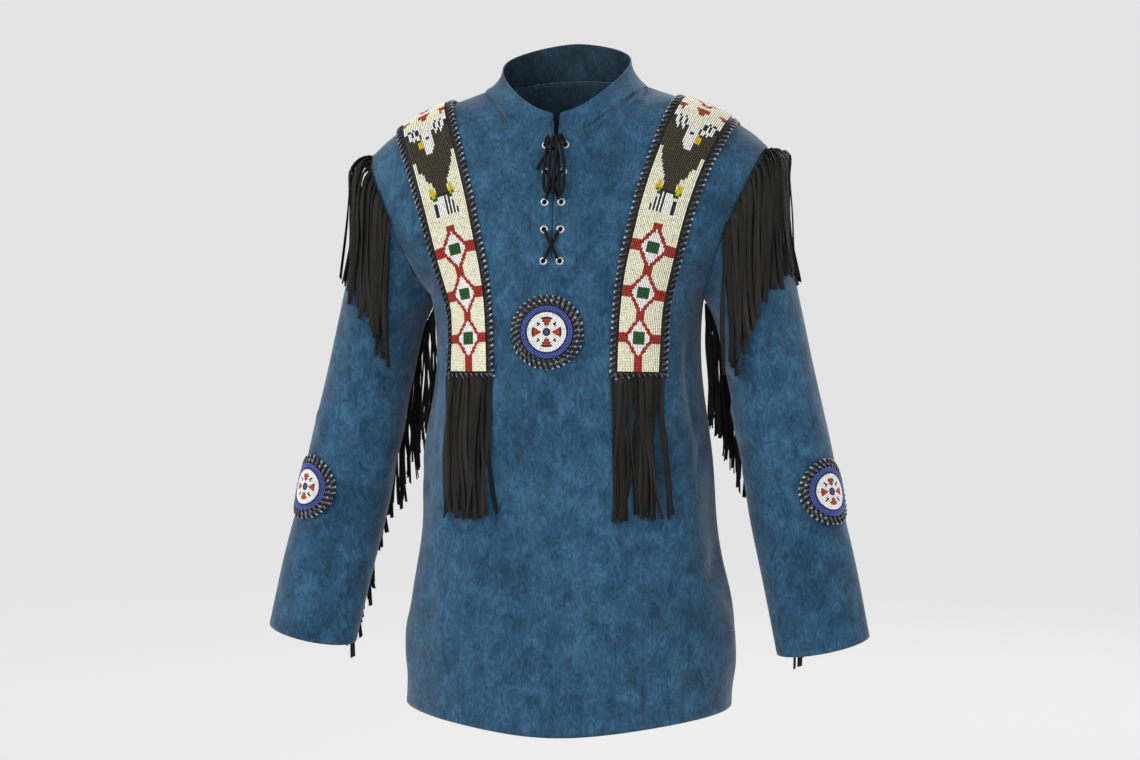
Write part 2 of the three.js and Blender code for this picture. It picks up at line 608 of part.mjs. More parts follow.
// A round patch on a surface: its places on a square grid pressed into a circle
function roundPlaces(surface, centre, radius, cells) {
  const [a, b] = centre;
  const stepA = surface(a + 0.01, b).distanceTo(surface(a, b)) / 0.01;
  const unitB = Math.abs(b) > 2 ? 1 : 0.001;
  const stepB = surface(a, b + unitB).distanceTo(surface(a, b)) / unitB;
  return between(-1, 1, cells).map((v) =>
    between(-1, 1, cells).map((u) => {
      const size = Math.max(Math.abs(u), Math.abs(v));
      const long = Math.hypot(u, v) || 1;
      return [a + (radius * size * (u / long)) / stepA, b + (radius * size * (v / long)) / stepB];
    }),
  );
}

// A strand: a flat three-sided or four-sided thong down a line of points, its flat side facing `facing`
const STRAND_SECTIONS = {
  3: [[-0.5, -0.5], [0.5, -0.5], [0, 0.5]],
  4: [[-0.5, -0.5], [0.5, -0.5], [0.5, 0.5], [-0.5, 0.5]],
};
function strand(line, facing, { wide, thick }, sides = 3) {
  const rings = line.map((p, i) => {
    const ahead = line[Math.min(i + 1, line.length - 1)].clone().sub(line[Math.max(i - 1, 0)]).normalize();
    const out = facing[i].clone().addScaledVector(ahead, -facing[i].dot(ahead)).normalize();
    const across = ahead.clone().cross(out);
    return STRAND_SECTIONS[sides].map(([u, v]) =>
      p.clone().addScaledVector(across, u * wide).addScaledVector(out, v * thick),
    );
  });
  const positions = rings.flat().flatMap((p) => [p.x, p.y, p.z]);
  const faces = [];
  for (let i = 0; i < rings.length - 1; i++)
    for (let k = 0; k < sides; k++) {
      const [a, b] = [i * sides + k, i * sides + ((k + 1) % sides)];
      faces.push(a, b, b + sides, a, b + sides, a + sides);
    }
  const last = (rings.length - 1) * sides;
  for (let k = 1; k < sides - 1; k++) {
    faces.push(0, k + 1, k);
    faces.push(last, last + k, last + k + 1);
  }
  return facingOut(positions, faces);
}

// The sleeve's outline at a height, as a distance from its middle in any direction: what a strand hangs over
const OUTLINE_LINES = 24;
const outlines = new Map();
function sleeveOutline(z) {
  const key = Math.round(z);
  if (!outlines.has(key)) {
    const found = between(0, 2 * Math.PI, OUTLINE_LINES).slice(0, -1).map((angle) => {
      let [low, high] = [0, 1];
      for (let i = 0; i < 16; i++) {
        const middle = (low + high) / 2;
        if (sleeve(angle, middle).z > key) low = middle;
        else high = middle;
      }
      return sleeve(angle, (low + high) / 2);
    });
    const middle = found.reduce((sum, p) => sum.add(p), point(0, 0, 0)).divideScalar(found.length);
    outlines.set(key, { found, middle });
  }
  return outlines.get(key);
}

// A point moved level, away from the sleeve's middle, until it is `clear` outside the sleeve
function outsideSleeve(p, clear) {
  const { found, middle } = sleeveOutline(p.z);
  const way = point(p.x - middle.x, p.y - middle.y, 0);
  const turn = Math.atan2(way.y, way.x);
  let reach = 0;
  found.forEach((a, i) => {
    const b = found[(i + 1) % found.length];
    const turnA = Math.atan2(a.y - middle.y, a.x - middle.x) - turn;
    const turnB = Math.atan2(b.y - middle.y, b.x - middle.x) - turn;
    const [sinA, sinB] = [Math.sin(turnA), Math.sin(turnB)];
    if (sinA * sinB > 0 || Math.cos(turnA) + Math.cos(turnB) < 0) return;
    const share = Math.abs(sinA) / (Math.abs(sinA) + Math.abs(sinB) || 1);
    const [farA, farB] = [a, b].map((end) => Math.hypot(end.x - middle.x, end.y - middle.y));
    const far = mix(farA, farB, share);
    reach = Math.max(reach, far);
  });
  const far = Math.max(way.length(), reach + clear);
  way.normalize();
  return { at: point(middle.x + way.x * far, middle.y + way.y * far, p.z), way };
}

// The least x at which a strand beside the body hangs clear of it
function besideBody(p, clear) {
  const depth = p.y < 0 ? frontDepth(p.z) : backDepth(p.z);
  const share = Math.min(Math.abs(p.y) / depth, 1);
  return bodyHalf(p.z) * (1 - share ** ROUNDNESS) ** (1 / ROUNDNESS) + clear;
}

// An uneven number for a strand, the same each time
const uneven = (i, seed) => {
  const x = Math.sin(i * 12.9898 + seed * 78.233) * 43758.5453;
  return x - Math.floor(x);
};

const wasm = await Module();
wasm.setup();

function solidOf(geometry) {
  const merged = mergeVertices(geometry, 1e-3);
  return new wasm.Manifold(
    new wasm.Mesh({
      numProp: 3,
      vertProperties: merged.attributes.position.array,
      triVerts: new Uint32Array(merged.index.array),
    }),
  );
}

// Several overlapping geometries fused into one, with the small pockets that strands shut in filled
function fused(geometries) {
  const whole = geometries.map(solidOf).reduce((all, solid) => all.add(solid));
  const mesh = whole.decompose().sort((a, b) => b.volume() - a.volume())[0].getMesh();
  const geometry = new THREE.BufferGeometry();
  geometry.setAttribute("position", new THREE.BufferAttribute(mesh.vertProperties.slice(), 3));
  geometry.setIndex(new THREE.BufferAttribute(mesh.triVerts.slice(), 1));
  return geometry;
}

// The armhole's fringe: a band over the front, top and back of the seam, and strands that hang over the sleeve
// in two layers
function armholeFringe() {
  const { strands, long, reach, band, layer } = ARMHOLE_FRINGE;
  const turns = between(-radians(reach), radians(reach), 12);
  const bandStart = 1.2 / SLEEVE_LENGTH;
  const bandEnd = band / SLEEVE_LENGTH;
  const bandPlaces = [bandStart, bandEnd].map((at) => turns.map((angle) => [angle, at]));
  const parts = [suedeWall(bandPlaces, sleeve, sleeveNormal, { lift: 1.3, thick: layer + 1.6 })];
  for (let i = 0; i < strands; i++) {
    const angle = mix(-radians(reach - 4), radians(reach - 4), i / (strands - 1));
    const clear = 1.7 + layer * (i % 2);
    const out = sleeveNormal(angle, bandEnd);
    const root = sleeve(angle, (bandStart + bandEnd) / 2).addScaledVector(out, clear + 1);
    const length = long * (0.93 + 0.12 * uneven(i, 1));
    const line = [root];
    const facing = [out];
    for (const share of [0.14, 0.5, 1]) {
      const hung = outsideSleeve(root.clone().setZ(root.z - length * share), clear + 2.4);
      line.push(hung.at);
      facing.push(hung.way);
    }
    parts.push(strand(line, facing, ARMHOLE_FRINGE));
  }
  return fused(parts);
}

// The sleeve seam's fringe runs from under the arm to the middle of the back of the forearm
function sleeveFringe() {
  const { strands, long, from, to, band } = SLEEVE_FRINGE;
  const seamAngle = (at) => radians(mix(188, 262, fade(at, 0, 0.8)));
  const along = between(from, to, 12);
  const bandPlaces = [-0.5, 0.5].map((side) =>
    along.map((at) => [seamAngle(at) + (side * band) / 58, at]),
  );
  const parts = [suedeWall(bandPlaces, sleeve, sleeveNormal, { lift: 1.1, thick: 2.2 })];
  for (let i = 0; i < strands; i++) {
    const at = mix(from + 0.012, to - 0.012, i / (strands - 1));
    const angle = seamAngle(at);
    const out = sleeveNormal(angle, at);
    const root = sleeve(angle, at).addScaledVector(out, 2.3);
    const length = long * (0.9 + 0.16 * uneven(i, 2));
    const line = [root];
    const facing = [out];
    for (const share of [0.2, 0.6, 1]) {
      const hung = outsideSleeve(root.clone().setZ(root.z - length * share), 4.4);
      line.push(hung.at.setX(Math.max(hung.at.x, besideBody(hung.at, 9))));
      facing.push(out);
    }
    parts.push(strand(line, facing, SLEEVE_FRINGE));
  }
  return fused(parts);
}

// The fringe that hangs from the lower end of a strip, over the front
function stripFringe(side) {
  const { strands, long, band } = STRIP_FRINGE;
  const seamX = through(FRONT_SEAM, "z", "x");
  const widthHere = laneWidth(seamX, STRIP.frontEnd, frontDepth(STRIP.frontEnd));
  const onBody = (share, z) => [side * angleAt(seamX(z) + share * STRIP.half * widthHere, z), z];
  const rows = turned(rowsOf(frontLanes).slice(CELLS.low - 1, CELLS.low + 1), side);
  const bandRow = (drop, lift) =>
    rows[1].map((top, j) => {
      const from = body(...top);
      const way = body(...rows[0][j]).sub(from).normalize();
      return from.addScaledVector(way, drop).addScaledVector(bodyNormal(...top), lift);
    });
  const sheet = (lift) => [bandRow(band, lift), bandRow(SEAM_GAP, lift)];
  const parts = [wall(sheet(ON_TOP_GAP + 2.6), sheet(ON_TOP_GAP))];
  for (let i = 0; i < strands; i++) {
    const share = mix(-0.91, 0.91, i / (strands - 1));
    const length = long * (0.97 + 0.05 * uneven(i, 3));
    const line = [];
    const facing = [];
    for (const t of steps(4)) {
      const z = STRIP.frontEnd - band / 2 - length * t;
      const sway = 0.05 * t * t * share + 0.03 * t * Math.sin(i * 2.1 + 3 * t);
      const place = onBody(share + sway, z);
      const out = plainBodyNormal(...place);
      line.push(body(...place).addScaledVector(out, 1.9 + 1.2 * t));
      facing.push(out);
    }
    parts.push(strand(line, facing, STRIP_FRINGE, 4));
  }
  return fused(parts);
}

// An eyelet: a turned ring that lies on the cloth beside the slit
function eyelet(x, z) {
  const profile = [
    [EYELET.hole, 0],
    [EYELET.out, 0],
    [(EYELET.out + EYELET.hole) / 2, EYELET.high],
    [EYELET.hole, 0],
  ].map(([r, h]) => new THREE.Vector2(r, h));
  const geometry = mergeVertices(withoutNormals(new THREE.LatheGeometry(profile, 12)), 1e-3);
  const place = [angleAt(x, z), z];
  const out = bodyNormal(...place);
  const turn = new THREE.Quaternion().setFromUnitVectors(point(0, 1, 0), out);
  const centre = body(...place).addScaledVector(out, ON_TOP_GAP + 0.25);
  return { geometry, turn, centre };
}

function withoutNormals(geometry) {
  geometry.deleteAttribute("normal");
  geometry.deleteAttribute("uv");
  return geometry;
}

const slitHalfWidth = through(SLIT, "z", "half");
const eyeletX = (z) => EYELET.fromSlit + 0.85 * slitHalfWidth(z);

// A point over the placket, `lift` out from the cloth
function overPlacket(x, z, lift) {
  const place = [angleAt(x, z), z];
  return body(...place).addScaledVector(plainBodyNormal(...place), lift);
}

// A round lace along points, as a tube with eight sides
function laceTube(points, perStep) {
  const path = new THREE.CatmullRomCurve3(points, false, "centripetal");
  const section = new THREE.Shape();
  section.absarc(0, 0, LACE, 0, 2 * Math.PI, false);
  return new THREE.ExtrudeGeometry(section, {
    extrudePath: path,
    steps: Math.round(path.getLength() / perStep),
    curveSegments: 4,
    bevelEnabled: false,
  });
}

// One strand of a cross, from an eyelet over the slit to the next row's opposite eyelet
function crossLace(highRow, lowRow, side, lift) {
  const inHole = ON_TOP_GAP + EYELET.high + 0.7 + LACE;
  const [high, low] = [EYELET_ROWS[highRow], EYELET_ROWS[lowRow]];
  const inset = 2.4;
  return laceTube(
    [
      overPlacket(side * (eyeletX(high) - inset), high - inset, inHole),
      overPlacket(side * eyeletX(high) * 0.45, mix(high, low, 0.28), lift),
      overPlacket(0, mix(high, low, 0.5), lift + 0.4),
      overPlacket(-side * eyeletX(low) * 0.45, mix(high, low, 0.72), lift),
      overPlacket(-side * (eyeletX(low) - inset), low + inset, inHole),
    ],
    6,
  );
}

// The free ends of the lace: each comes out of its top eyelet, turns over the slit, goes down and up in a loop,
// and hangs down in a tail. Their points follow in order, by place beside the slit and lift from the cloth.
const LACE_END = {
  right: [
    { x: -11.9, z: -68, lift: 0.6 },
    { x: -11.9, z: -67.6, lift: 4.6 },
    { x: -8, z: -60, lift: 9 },
    { x: -5.5, z: -65, lift: 13 },
    { x: -8.5, z: -80, lift: 13.5 },
    { x: -10, z: -100, lift: 12.8 },
    { x: -10.5, z: -120, lift: 12 },
    { x: -7, z: -131, lift: 11.6 },
    { x: -3.6, z: -121, lift: 12.4 },
    { x: -4, z: -100, lift: 12.8 },
    { x: -3.4, z: -80, lift: 14.4 },
    { x: -1, z: -66, lift: 17.6 },
    { x: 3, z: -62, lift: 18 },
    { x: 4.5, z: -73, lift: 16.6 },
    { x: 3.5, z: -93, lift: 14.6 },
    { x: 2, z: -113, lift: 12.6 },
    { x: 1, z: -131, lift: 11 },
  ],
  left: [
    { x: 11.9, z: -68, lift: 0.6 },
    { x: 11.9, z: -67.6, lift: 4.6 },
    { x: 8, z: -58, lift: 9 },
    { x: 6, z: -62, lift: 12.8 },
    { x: 11, z: -78, lift: 13 },
    { x: 14.5, z: -98, lift: 12.4 },
    { x: 14.5, z: -120, lift: 11.4 },
    { x: 11.5, z: -134, lift: 10.9 },
    { x: 8, z: -126, lift: 11 },
    { x: 8, z: -104, lift: 11.6 },
    { x: 6.5, z: -85, lift: 11.2 },
    { x: 2.5, z: -75, lift: 9.6 },
    { x: -3.5, z: -76, lift: 8.6 },
    { x: -9.5, z: -83, lift: 8 },
    { x: -16, z: -92, lift: 6.6 },
    { x: -20, z: -100, lift: 5.4 },
  ],
};

const COLOURS = {
  suede: { color: 0x36597a, roughness: 0.95 },
  black: { color: 0x1c1b1b, roughness: 0.7 },
  beads: { color: 0xd8d2b4, roughness: 0.35 },
  rosette: { color: 0x3d4d94, roughness: 0.35 },
  nickel: { color: 0xc9ccd0, roughness: 0.3, metalness: 1 },
};

const shirt = new THREE.Group();

function add(name, colour, geometry, turned) {
  const mesh = new THREE.Mesh(geometry, new THREE.MeshStandardMaterial(COLOURS[colour]));
  mesh.name = name;
  if (turned) {
    mesh.quaternion.copy(turned.turn);
    mesh.position.copy(turned.centre);
  }
  shirt.add(mesh);
}

// A piece of each side, made by a function of the side: 1 for the left, which is +X, and -1 for the right
function addPair(name, colour, make) {
  add(`${name}_left`, colour, make(1));
  add(`${name}_right`, colour, make(-1));
}

// A maker for addPair that mirrors one geometry
const alike = (geometry) => (side) => {
  if (side > 0) return geometry;
  const other = geometry.clone();
  const flipped = other.attributes.position.array.map((v, i) => (i % 3 === 0 ? -v : v));
  other.setAttribute("position", new THREE.BufferAttribute(flipped, 3));
  return other.setIndex([...other.index.array].reverse());
};

add("front", "suede", front());
addPair("side_front", "suede", sideFront);
add("back", "suede", back());
add("collar", "suede", collar());
addPair("sleeve", "suede", alike(sleeveWall()));

// Strips: a black leather base with a laced border, and the beadwork on it
addPair("strip_base", "black", stripBase);
addPair("strip_beadwork", "beads", stripBeadwork);
addPair("strip_fringe", "black", stripFringe);
addPair("armhole_fringe", "black", alike(armholeFringe()));
addPair("sleeve_fringe", "black", alike(sleeveFringe()));

// Rosettes
const discCells = 5;
const baseDisc = (gap) => ({ lift: gap, thick: ROSETTE.thick });
const beadDisc = (gap) => ({ lift: 2 * gap + ROSETTE.thick, thick: ROSETTE.beadThick });
const chestPlace = [angleAt(CHEST_ROSETTE.x, CHEST_ROSETTE.z), CHEST_ROSETTE.z];
const chestDisc = (radius) => roundPlaces(body, chestPlace, radius, discCells);
const chestPatch = (radius, shape) => suedeWall(chestDisc(radius), body, bodyNormal, shape);
add("chest_rosette_base", "black", chestPatch(ROSETTE.base, baseDisc(ON_TOP_GAP)));
add("chest_rosette_beadwork", "rosette", chestPatch(ROSETTE.beads, beadDisc(ON_TOP_GAP)));
for (const side of ["left", "right"]) {
  const place = [radians(SLEEVE_ROSETTE[side]), SLEEVE_ROSETTE.at];
  const disc = (radius, shape) =>
    suedeWall(roundPlaces(sleeve, place, radius, discCells), sleeve, sleeveNormal, shape);
  const onSide = (geometry) => alike(geometry)(side === "left" ? 1 : -1);
  add(`sleeve_rosette_base_${side}`, "black", onSide(disc(ROSETTE.sleeveBase, baseDisc(ROUND_GAP))));
  add(`sleeve_rosette_beadwork_${side}`, "rosette", onSide(disc(ROSETTE.sleeveBeads, beadDisc(ROUND_GAP))));
}

EYELET_ROWS.forEach((z, row) => {
  for (const [side, name] of [[-1, "right"], [1, "left"]]) {
    const ring = eyelet(side * eyeletX(z), z);
    add(`eyelet_${name}_${row + 1}`, "nickel", ring.geometry, ring);
  }
});
add("lace_cross_low_under", "black", crossLace(3, 4, 1, 3.4));
add("lace_cross_low_over", "black", crossLace(3, 4, -1, 7.4));
add("lace_cross_high_under", "black", crossLace(1, 2, -1, 3.4));
add("lace_cross_high_over", "black", crossLace(1, 2, 1, 7.4));
add("lace_end_right", "black", laceTube(LACE_END.right.map((p) => overPlacket(p.x, p.z, p.lift)), 7.5));
add("lace_end_left", "black", laceTube(LACE_END.left.map((p) => overPlacket(p.x, p.z, p.lift)), 7.5));

export default shirt;
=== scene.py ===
# Fringe shirt: blue suede, filled out as it is worn but empty. Metres, +Z up, the front faces -Y, and "left" is
# the wearer's left, which is +X.
import math

import bmesh
import bpy
import numpy as np
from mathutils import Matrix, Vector
from mathutils.bvhtree import BVHTree


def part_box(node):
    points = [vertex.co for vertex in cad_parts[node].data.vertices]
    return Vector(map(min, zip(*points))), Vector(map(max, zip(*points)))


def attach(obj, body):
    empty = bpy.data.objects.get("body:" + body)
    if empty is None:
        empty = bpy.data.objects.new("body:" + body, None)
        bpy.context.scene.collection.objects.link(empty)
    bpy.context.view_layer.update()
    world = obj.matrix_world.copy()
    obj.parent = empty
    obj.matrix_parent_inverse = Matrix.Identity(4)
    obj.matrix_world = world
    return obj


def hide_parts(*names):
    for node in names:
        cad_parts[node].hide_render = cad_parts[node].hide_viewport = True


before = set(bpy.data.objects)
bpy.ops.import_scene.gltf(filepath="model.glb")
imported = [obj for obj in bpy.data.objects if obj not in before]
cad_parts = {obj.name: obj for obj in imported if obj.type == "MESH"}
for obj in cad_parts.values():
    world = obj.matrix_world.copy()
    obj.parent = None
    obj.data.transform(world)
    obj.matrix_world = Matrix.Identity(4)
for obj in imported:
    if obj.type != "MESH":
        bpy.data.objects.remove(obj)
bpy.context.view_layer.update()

# Camera: it stands level with the middle of the body and a little to the shirt's left, far enough away that
# the sleeves hardly turn to it.
CAMERA_AWAY = 2.5
CAMERA_TURN = math.radians(10.0)
CAMERA_RISE = math.radians(1.0)
VIEW_CENTRE = Vector((0.002, 0.0, -0.353))
VIEW_WIDTH = 1.426
SENSOR = 36.0


def in_scene(name, data):
    thing = bpy.data.objects.new(name, data)
    bpy.context.scene.collection.objects.link(thing)
    return thing


camera_data = bpy.data.cameras.new("camera")
camera_data.sensor_width = SENSOR
camera_data.lens = SENSOR * CAMERA_AWAY / VIEW_WIDTH
camera = in_scene("camera", camera_data)
camera_back = Vector((
    math.sin(CAMERA_TURN) * math.cos(CAMERA_RISE),
    -math.cos(CAMERA_TURN) * math.cos(CAMERA_RISE),
    math.sin(CAMERA_RISE),
))
camera.location = VIEW_CENTRE + CAMERA_AWAY * camera_back
camera.rotation_euler = camera_back.to_track_quat("Z", "Y").to_euler()
bpy.context.scene.camera = camera

# Lace ends: one soft round leather lace, whose two ends come out of the top pair of eyelets. Each turns over
# the slit, makes a loop of a loose bow and hangs down in a short tail, cut off plain.
LACE_THICK = 0.0040
LACE_ENDS = {  # place beside the slit, height, and lift from the cloth
    "right": [
        (-0.0119, -0.068, 0.0006), (-0.0119, -0.0676, 0.0046), (-0.008, -0.060, 0.009), (-0.0055, -0.065, 0.013),
        (-0.0085, -0.080, 0.0135), (-0.010, -0.100, 0.0128), (-0.0105, -0.120, 0.012), (-0.007, -0.131, 0.0116),
        (-0.0036, -0.121, 0.0124), (-0.004, -0.100, 0.0128), (-0.0034, -0.080, 0.0144), (-0.001, -0.066, 0.0176),
        (0.003, -0.062, 0.018), (0.0045, -0.073, 0.0166), (0.0035, -0.093, 0.0146), (0.002, -0.113, 0.0126),
        (0.001, -0.131, 0.011),
    ],
    "left": [
        (0.0119, -0.068, 0.0006), (0.0119, -0.0676, 0.0046), (0.008, -0.058, 0.009), (0.006, -0.062, 0.0128),
        (0.011, -0.078, 0.013), (0.0145, -0.098, 0.0124), (0.0145, -0.120, 0.0114), (0.0115, -0.134, 0.0109),
        (0.008, -0.126, 0.011), (0.008, -0.104, 0.0116), (0.0065, -0.085, 0.0112), (0.0025, -0.075, 0.0096),
        (-0.0035, -0.076, 0.0086), (-0.0095, -0.083, 0.008), (-0.016, -0.092, 0.0066), (-0.020, -0.100, 0.0054),
    ],
}
LACE_BLACK = (4, 4, 5)
LACE_WORN = (13, 12, 13)


class Value:
    """A number that varies over a surface. Sums and products of it add Math nodes to its tree."""

    def __init__(self, graph, socket):
        self.graph = graph
        self.socket = socket

    def maths(self, operation, first, second):
        return self.graph.value("ShaderNodeMath", {"operation": operation}, {0: first, 1: second})

    def __add__(self, other):
        return self.maths("ADD", self, other)

    def __sub__(self, other):
        return self.maths("SUBTRACT", self, other)

    def __rsub__(self, other):
        return self.maths("SUBTRACT", other, self)

    def __mul__(self, other):
        return self.maths("MULTIPLY", self, other)

    __radd__ = __add__
    __rmul__ = __mul__

    def between(self, low, high, bottom=0.0, top=1.0):
        """Runs smoothly from bottom to top as this goes from low to high."""
        ends = {"Value": self, "From Min": low, "From Max": high, "To Min": bottom, "To Max": top}
        return self.graph.value("ShaderNodeMapRange", {"interpolation_type": "SMOOTHSTEP"}, ends)


class Graph:
    """A node tree under construction."""

    def __init__(self, tree):
        self.tree = tree

    def feed(self, socket, value):
        if isinstance(value, Value):
            self.tree.links.new(value.socket, socket)
        else:
            socket.default_value = value

    def node(self, kind, settings=None, sockets=None):
        node = self.tree.nodes.new(kind)
        for name, setting in (settings or {}).items():
            setattr(node, name, setting)
        for name, value in (sockets or {}).items():
            self.feed(node.inputs[name], value)
        return node

    def value(self, kind, settings=None, sockets=None, output=0):
        return Value(self, self.node(kind, settings, sockets).outputs[output])


def paint(red, green, blue):
    """A colour of 0 to 255 a channel, as it is seen, in the linear numbers that shaders take."""
    seen = [channel / 255 for channel in (red, green, blue)]
    return tuple(c / 12.92 if c <= 0.04045 else ((c + 0.055) / 1.055) ** 2.4 for c in seen) + (1.0,)


class Finish(Graph):
    """A material: its shader takes what is the same all over, and dress() what varies."""

    def __init__(self, name, **all_over):
        self.material = bpy.data.materials.new(name)
        self.material.use_nodes = True
        super().__init__(self.material.node_tree)
        self.shader = self.tree.nodes["Principled BSDF"]
        for socket, value in all_over.items():
            self.shader.inputs[socket.replace("_", " ")].default_value = value
        self.place = self.value("ShaderNodeTexCoord", output=3)

    def noise(self, scale, detail=2.0, stretch=(1, 1, 1), distortion=0.0):
        where = self.value("ShaderNodeMapping", sockets={"Vector": self.place, "Scale": stretch})
        sizes = {"Vector": where, "Scale": scale, "Detail": detail, "Distortion": distortion}
        return self.value("ShaderNodeTexNoise", sockets=sizes)

    def blend(self, share, first, second, how="MIX"):
        sockets = {0: share, 6: first, 7: second}
        return self.value("ShaderNodeMix", {"data_type": "RGBA", "blend_type": how}, sockets, 2)

    def attribute(self, name, output=2):
        return self.value("ShaderNodeAttribute", {"attribute_name": name}, output=output)

    def dress(self, colour=None, roughness=None, height=None, bump=0.3, deep=0.0005):
        if colour is not None:
            self.feed(self.shader.inputs["Base Color"], colour)
        if roughness is not None:
            self.feed(self.shader.inputs["Roughness"], roughness)
        if height is not None:
            sockets = {"Strength": bump, "Distance": deep, "Height": height}
            self.feed(self.shader.inputs["Normal"], self.value("ShaderNodeBump", sockets=sockets))
        return self.material


def black_leather(name, black, worn, rough, **all_over):
    """Dyed leather, a little worn to brown in soft patches, with a fine grain."""
    finish = Finish(name, **all_over)
    patches = finish.noise(60, 4).between(0.42, 0.72)
    grain = finish.noise(1400, 3)
    colour = finish.blend(patches * 0.6, paint(*black), paint(*worn))
    return finish.dress(colour, grain * 0.2 + rough, grain, 0.35, 0.0003)


def cloth_tree(*names):
    """The surface of CAD nodes, for finding places on it."""
    places = []
    faces = []
    for name in names:
        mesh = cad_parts[name].data
        faces += [[v + len(places) for v in polygon.vertices] for polygon in mesh.polygons]
        places += [v.co.copy() for v in mesh.vertices]
    return BVHTree.FromPolygons(places, faces)


BESIDE_SLIT = 0.014  # the cloth is whole from here outwards
NEAR_CUT = 0.004  # places this much further aside are tried when a look meets a hole
SLOPE_SPAN = 0.006  # the cloth's slope is taken over this much above and below
PLACKET_AHEAD = -0.08  # about where the placket lies, front to back
placket_cloth = cloth_tree("front", "collar")


def cloth_ahead(x, z):
    """Where a look straight back at (x, z) first meets the cloth, or near it over an eyelet's hole."""
    for aside in (0, NEAR_CUT, 2 * NEAR_CUT):
        start = Vector((x + math.copysign(aside, x), -1, z))
        spot = placket_cloth.ray_cast(start, Vector((0, 1, 0)))[0]
        if spot:
            return spot
    return placket_cloth.find_nearest(Vector((x, PLACKET_AHEAD, z)))[0]


def over_placket(x, z, lift):
    """A point over the cloth at the slit, lifted square to it."""
    aside = math.copysign(max(abs(x), BESIDE_SLIT), x)
    low, here, high = (cloth_ahead(aside, z + rise) for rise in (-SLOPE_SPAN, 0, SLOPE_SPAN))
    slope = (high.y - low.y) / (high.z - low.z)
    out = Vector((0, -1, slope)).normalized()
    return Vector((x, here.y, z)) + lift * out


def eased(points, rounds=2):
    """A line with its corners cut again and again, which leaves it smooth."""
    for _ in range(rounds):
        halves = [p.lerp(q, share) for p, q in zip(points, points[1:]) for share in (0.25, 0.75)]
        points = [points[0]] + halves[1:-1] + [points[-1]]
    return points


def lace_curve(name, points, thick, material):
    """A round lace as a curve along points."""
    curve = bpy.data.curves.new(name, "CURVE")
    curve.dimensions = "3D"
    curve.bevel_depth = thick / 2
    curve.bevel_resolution = 3
    curve.use_fill_caps = True
    spline = curve.splines.new("POLY")
    spline.points.add(len(points) - 1)
    for knot, place in zip(spline.points, points):
        knot.co = (*place, 1)
    curve.materials.append(material)
    return in_scene(name, curve)


lace_finish = black_leather("black_lace", LACE_BLACK, LACE_WORN, 0.5, Specular_IOR_Level=0.18)
for side, route in LACE_ENDS.items():
    points = eased([over_placket(*place) for place in route])
    piece = lace_curve("bow_" + side, points, LACE_THICK, lace_finish)
    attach(piece, "root")
    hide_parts("lace_end_" + side)

# Suede: split leather with a brushed nap on its face, dyed blue by hand, so that the colour lies in soft clouds
# with streaks of nap over them. The flesh side is darker and plainer, and a cut edge shows paler.
SUEDE_DEEP = (26, 56, 79)
SUEDE_MID = (38, 75, 102)
SUEDE_PALE = (54, 97, 127)
SUEDE_INSIDE = (34, 54, 67)
SUEDE_CUT = (50, 84, 108)


def suede(name, deep, mid, pale, inside=False):
    finish = Finish(name, Sheen_Weight=0.0 if inside else 0.25, Sheen_Roughness=0.5, Roughness=0.95)
    finish.shader.inputs["Specular IOR Level"].default_value = 0.15
    clouds = finish.noise(9, 2)
    patches = finish.noise(48, 5, stretch=(1, 1, 0.8), distortion=0.6)
    wisps = finish.noise(120, 5, stretch=(1, 1, 0.45), distortion=2.5)
    grain = finish.noise(900, 3)
    shade = clouds * 0.16 + patches * 0.34 + wisps * 0.36 + grain * 0.14 + finish.attribute("skin_tone")
    colour = finish.blend(shade.between(0.40, 0.50), paint(*deep), paint(*mid))
    colour = finish.blend(shade.between(0.49, 0.60), colour, paint(*pale))
    return finish.dress(colour, height=grain * 0.6 + wisps * 0.4, bump=0.5, deep=0.0008)


suede_face = suede("blue_suede", SUEDE_DEEP, SUEDE_MID, SUEDE_PALE)
suede_back = suede("suede_inside", (25, 41, 51), SUEDE_INSIDE, (43, 66, 81), inside=True)
suede_cut = suede("suede_cut_edge", (38, 68, 90), SUEDE_CUT, (66, 102, 126))

# Panels: each is cut from one skin and sewn edge to edge. A finer surface runs through the points of the CAD
# wall, with small creases pressed into it where cloth of this weight breaks.
CUT_ANGLE = math.radians(50)  # an edge that turns more than this is a cut edge
PANEL_LEVELS, BACK_LEVELS = 3, 2


def merged_quads(name):
    """A CAD node's wall as a bmesh whose triangles are joined in pairs."""
    wall = bmesh.new()
    wall.from_mesh(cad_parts[name].data)
    bmesh.ops.remove_doubles(wall, verts=wall.verts, dist=1e-5)
    bmesh.ops.join_triangles(wall, faces=wall.faces[:], angle_face_threshold=1.0, angle_shape_threshold=3.1,
                             topology_influence=1.0)
    wall.verts.index_update()
    wall.faces.ensure_lookup_table()
    return wall


def outwards(region):
    """How much a group of faces faces away from the shirt's upright middle line."""
    flat = Vector((1, 1, 0))
    return sum(face.calc_area() * face.normal.dot(face.calc_center_median() * flat) for face in region)


def smooth_regions(wall, upright=False):
    """The faces in groups that no cut edge crosses, the largest first; if upright, the outer of the first two."""
    left = set(wall.faces)
    regions = []
    while left:
        region = {left.pop()}
        edge_of = list(region)
        while edge_of:
            face = edge_of.pop()
            for edge in face.edges:
                if len(edge.link_faces) < 2 or edge.calc_face_angle(math.pi) > CUT_ANGLE:
                    continue
                for other in edge.link_faces:
                    if other in left:
                        left.discard(other)
                        region.add(other)
                        edge_of.append(other)
        regions.append(region)
    regions.sort(key=lambda region: -sum(face.calc_area() for face in region))
    if upright:
        regions[:2] = sorted(regions[:2], key=outwards, reverse=True)
    return regions


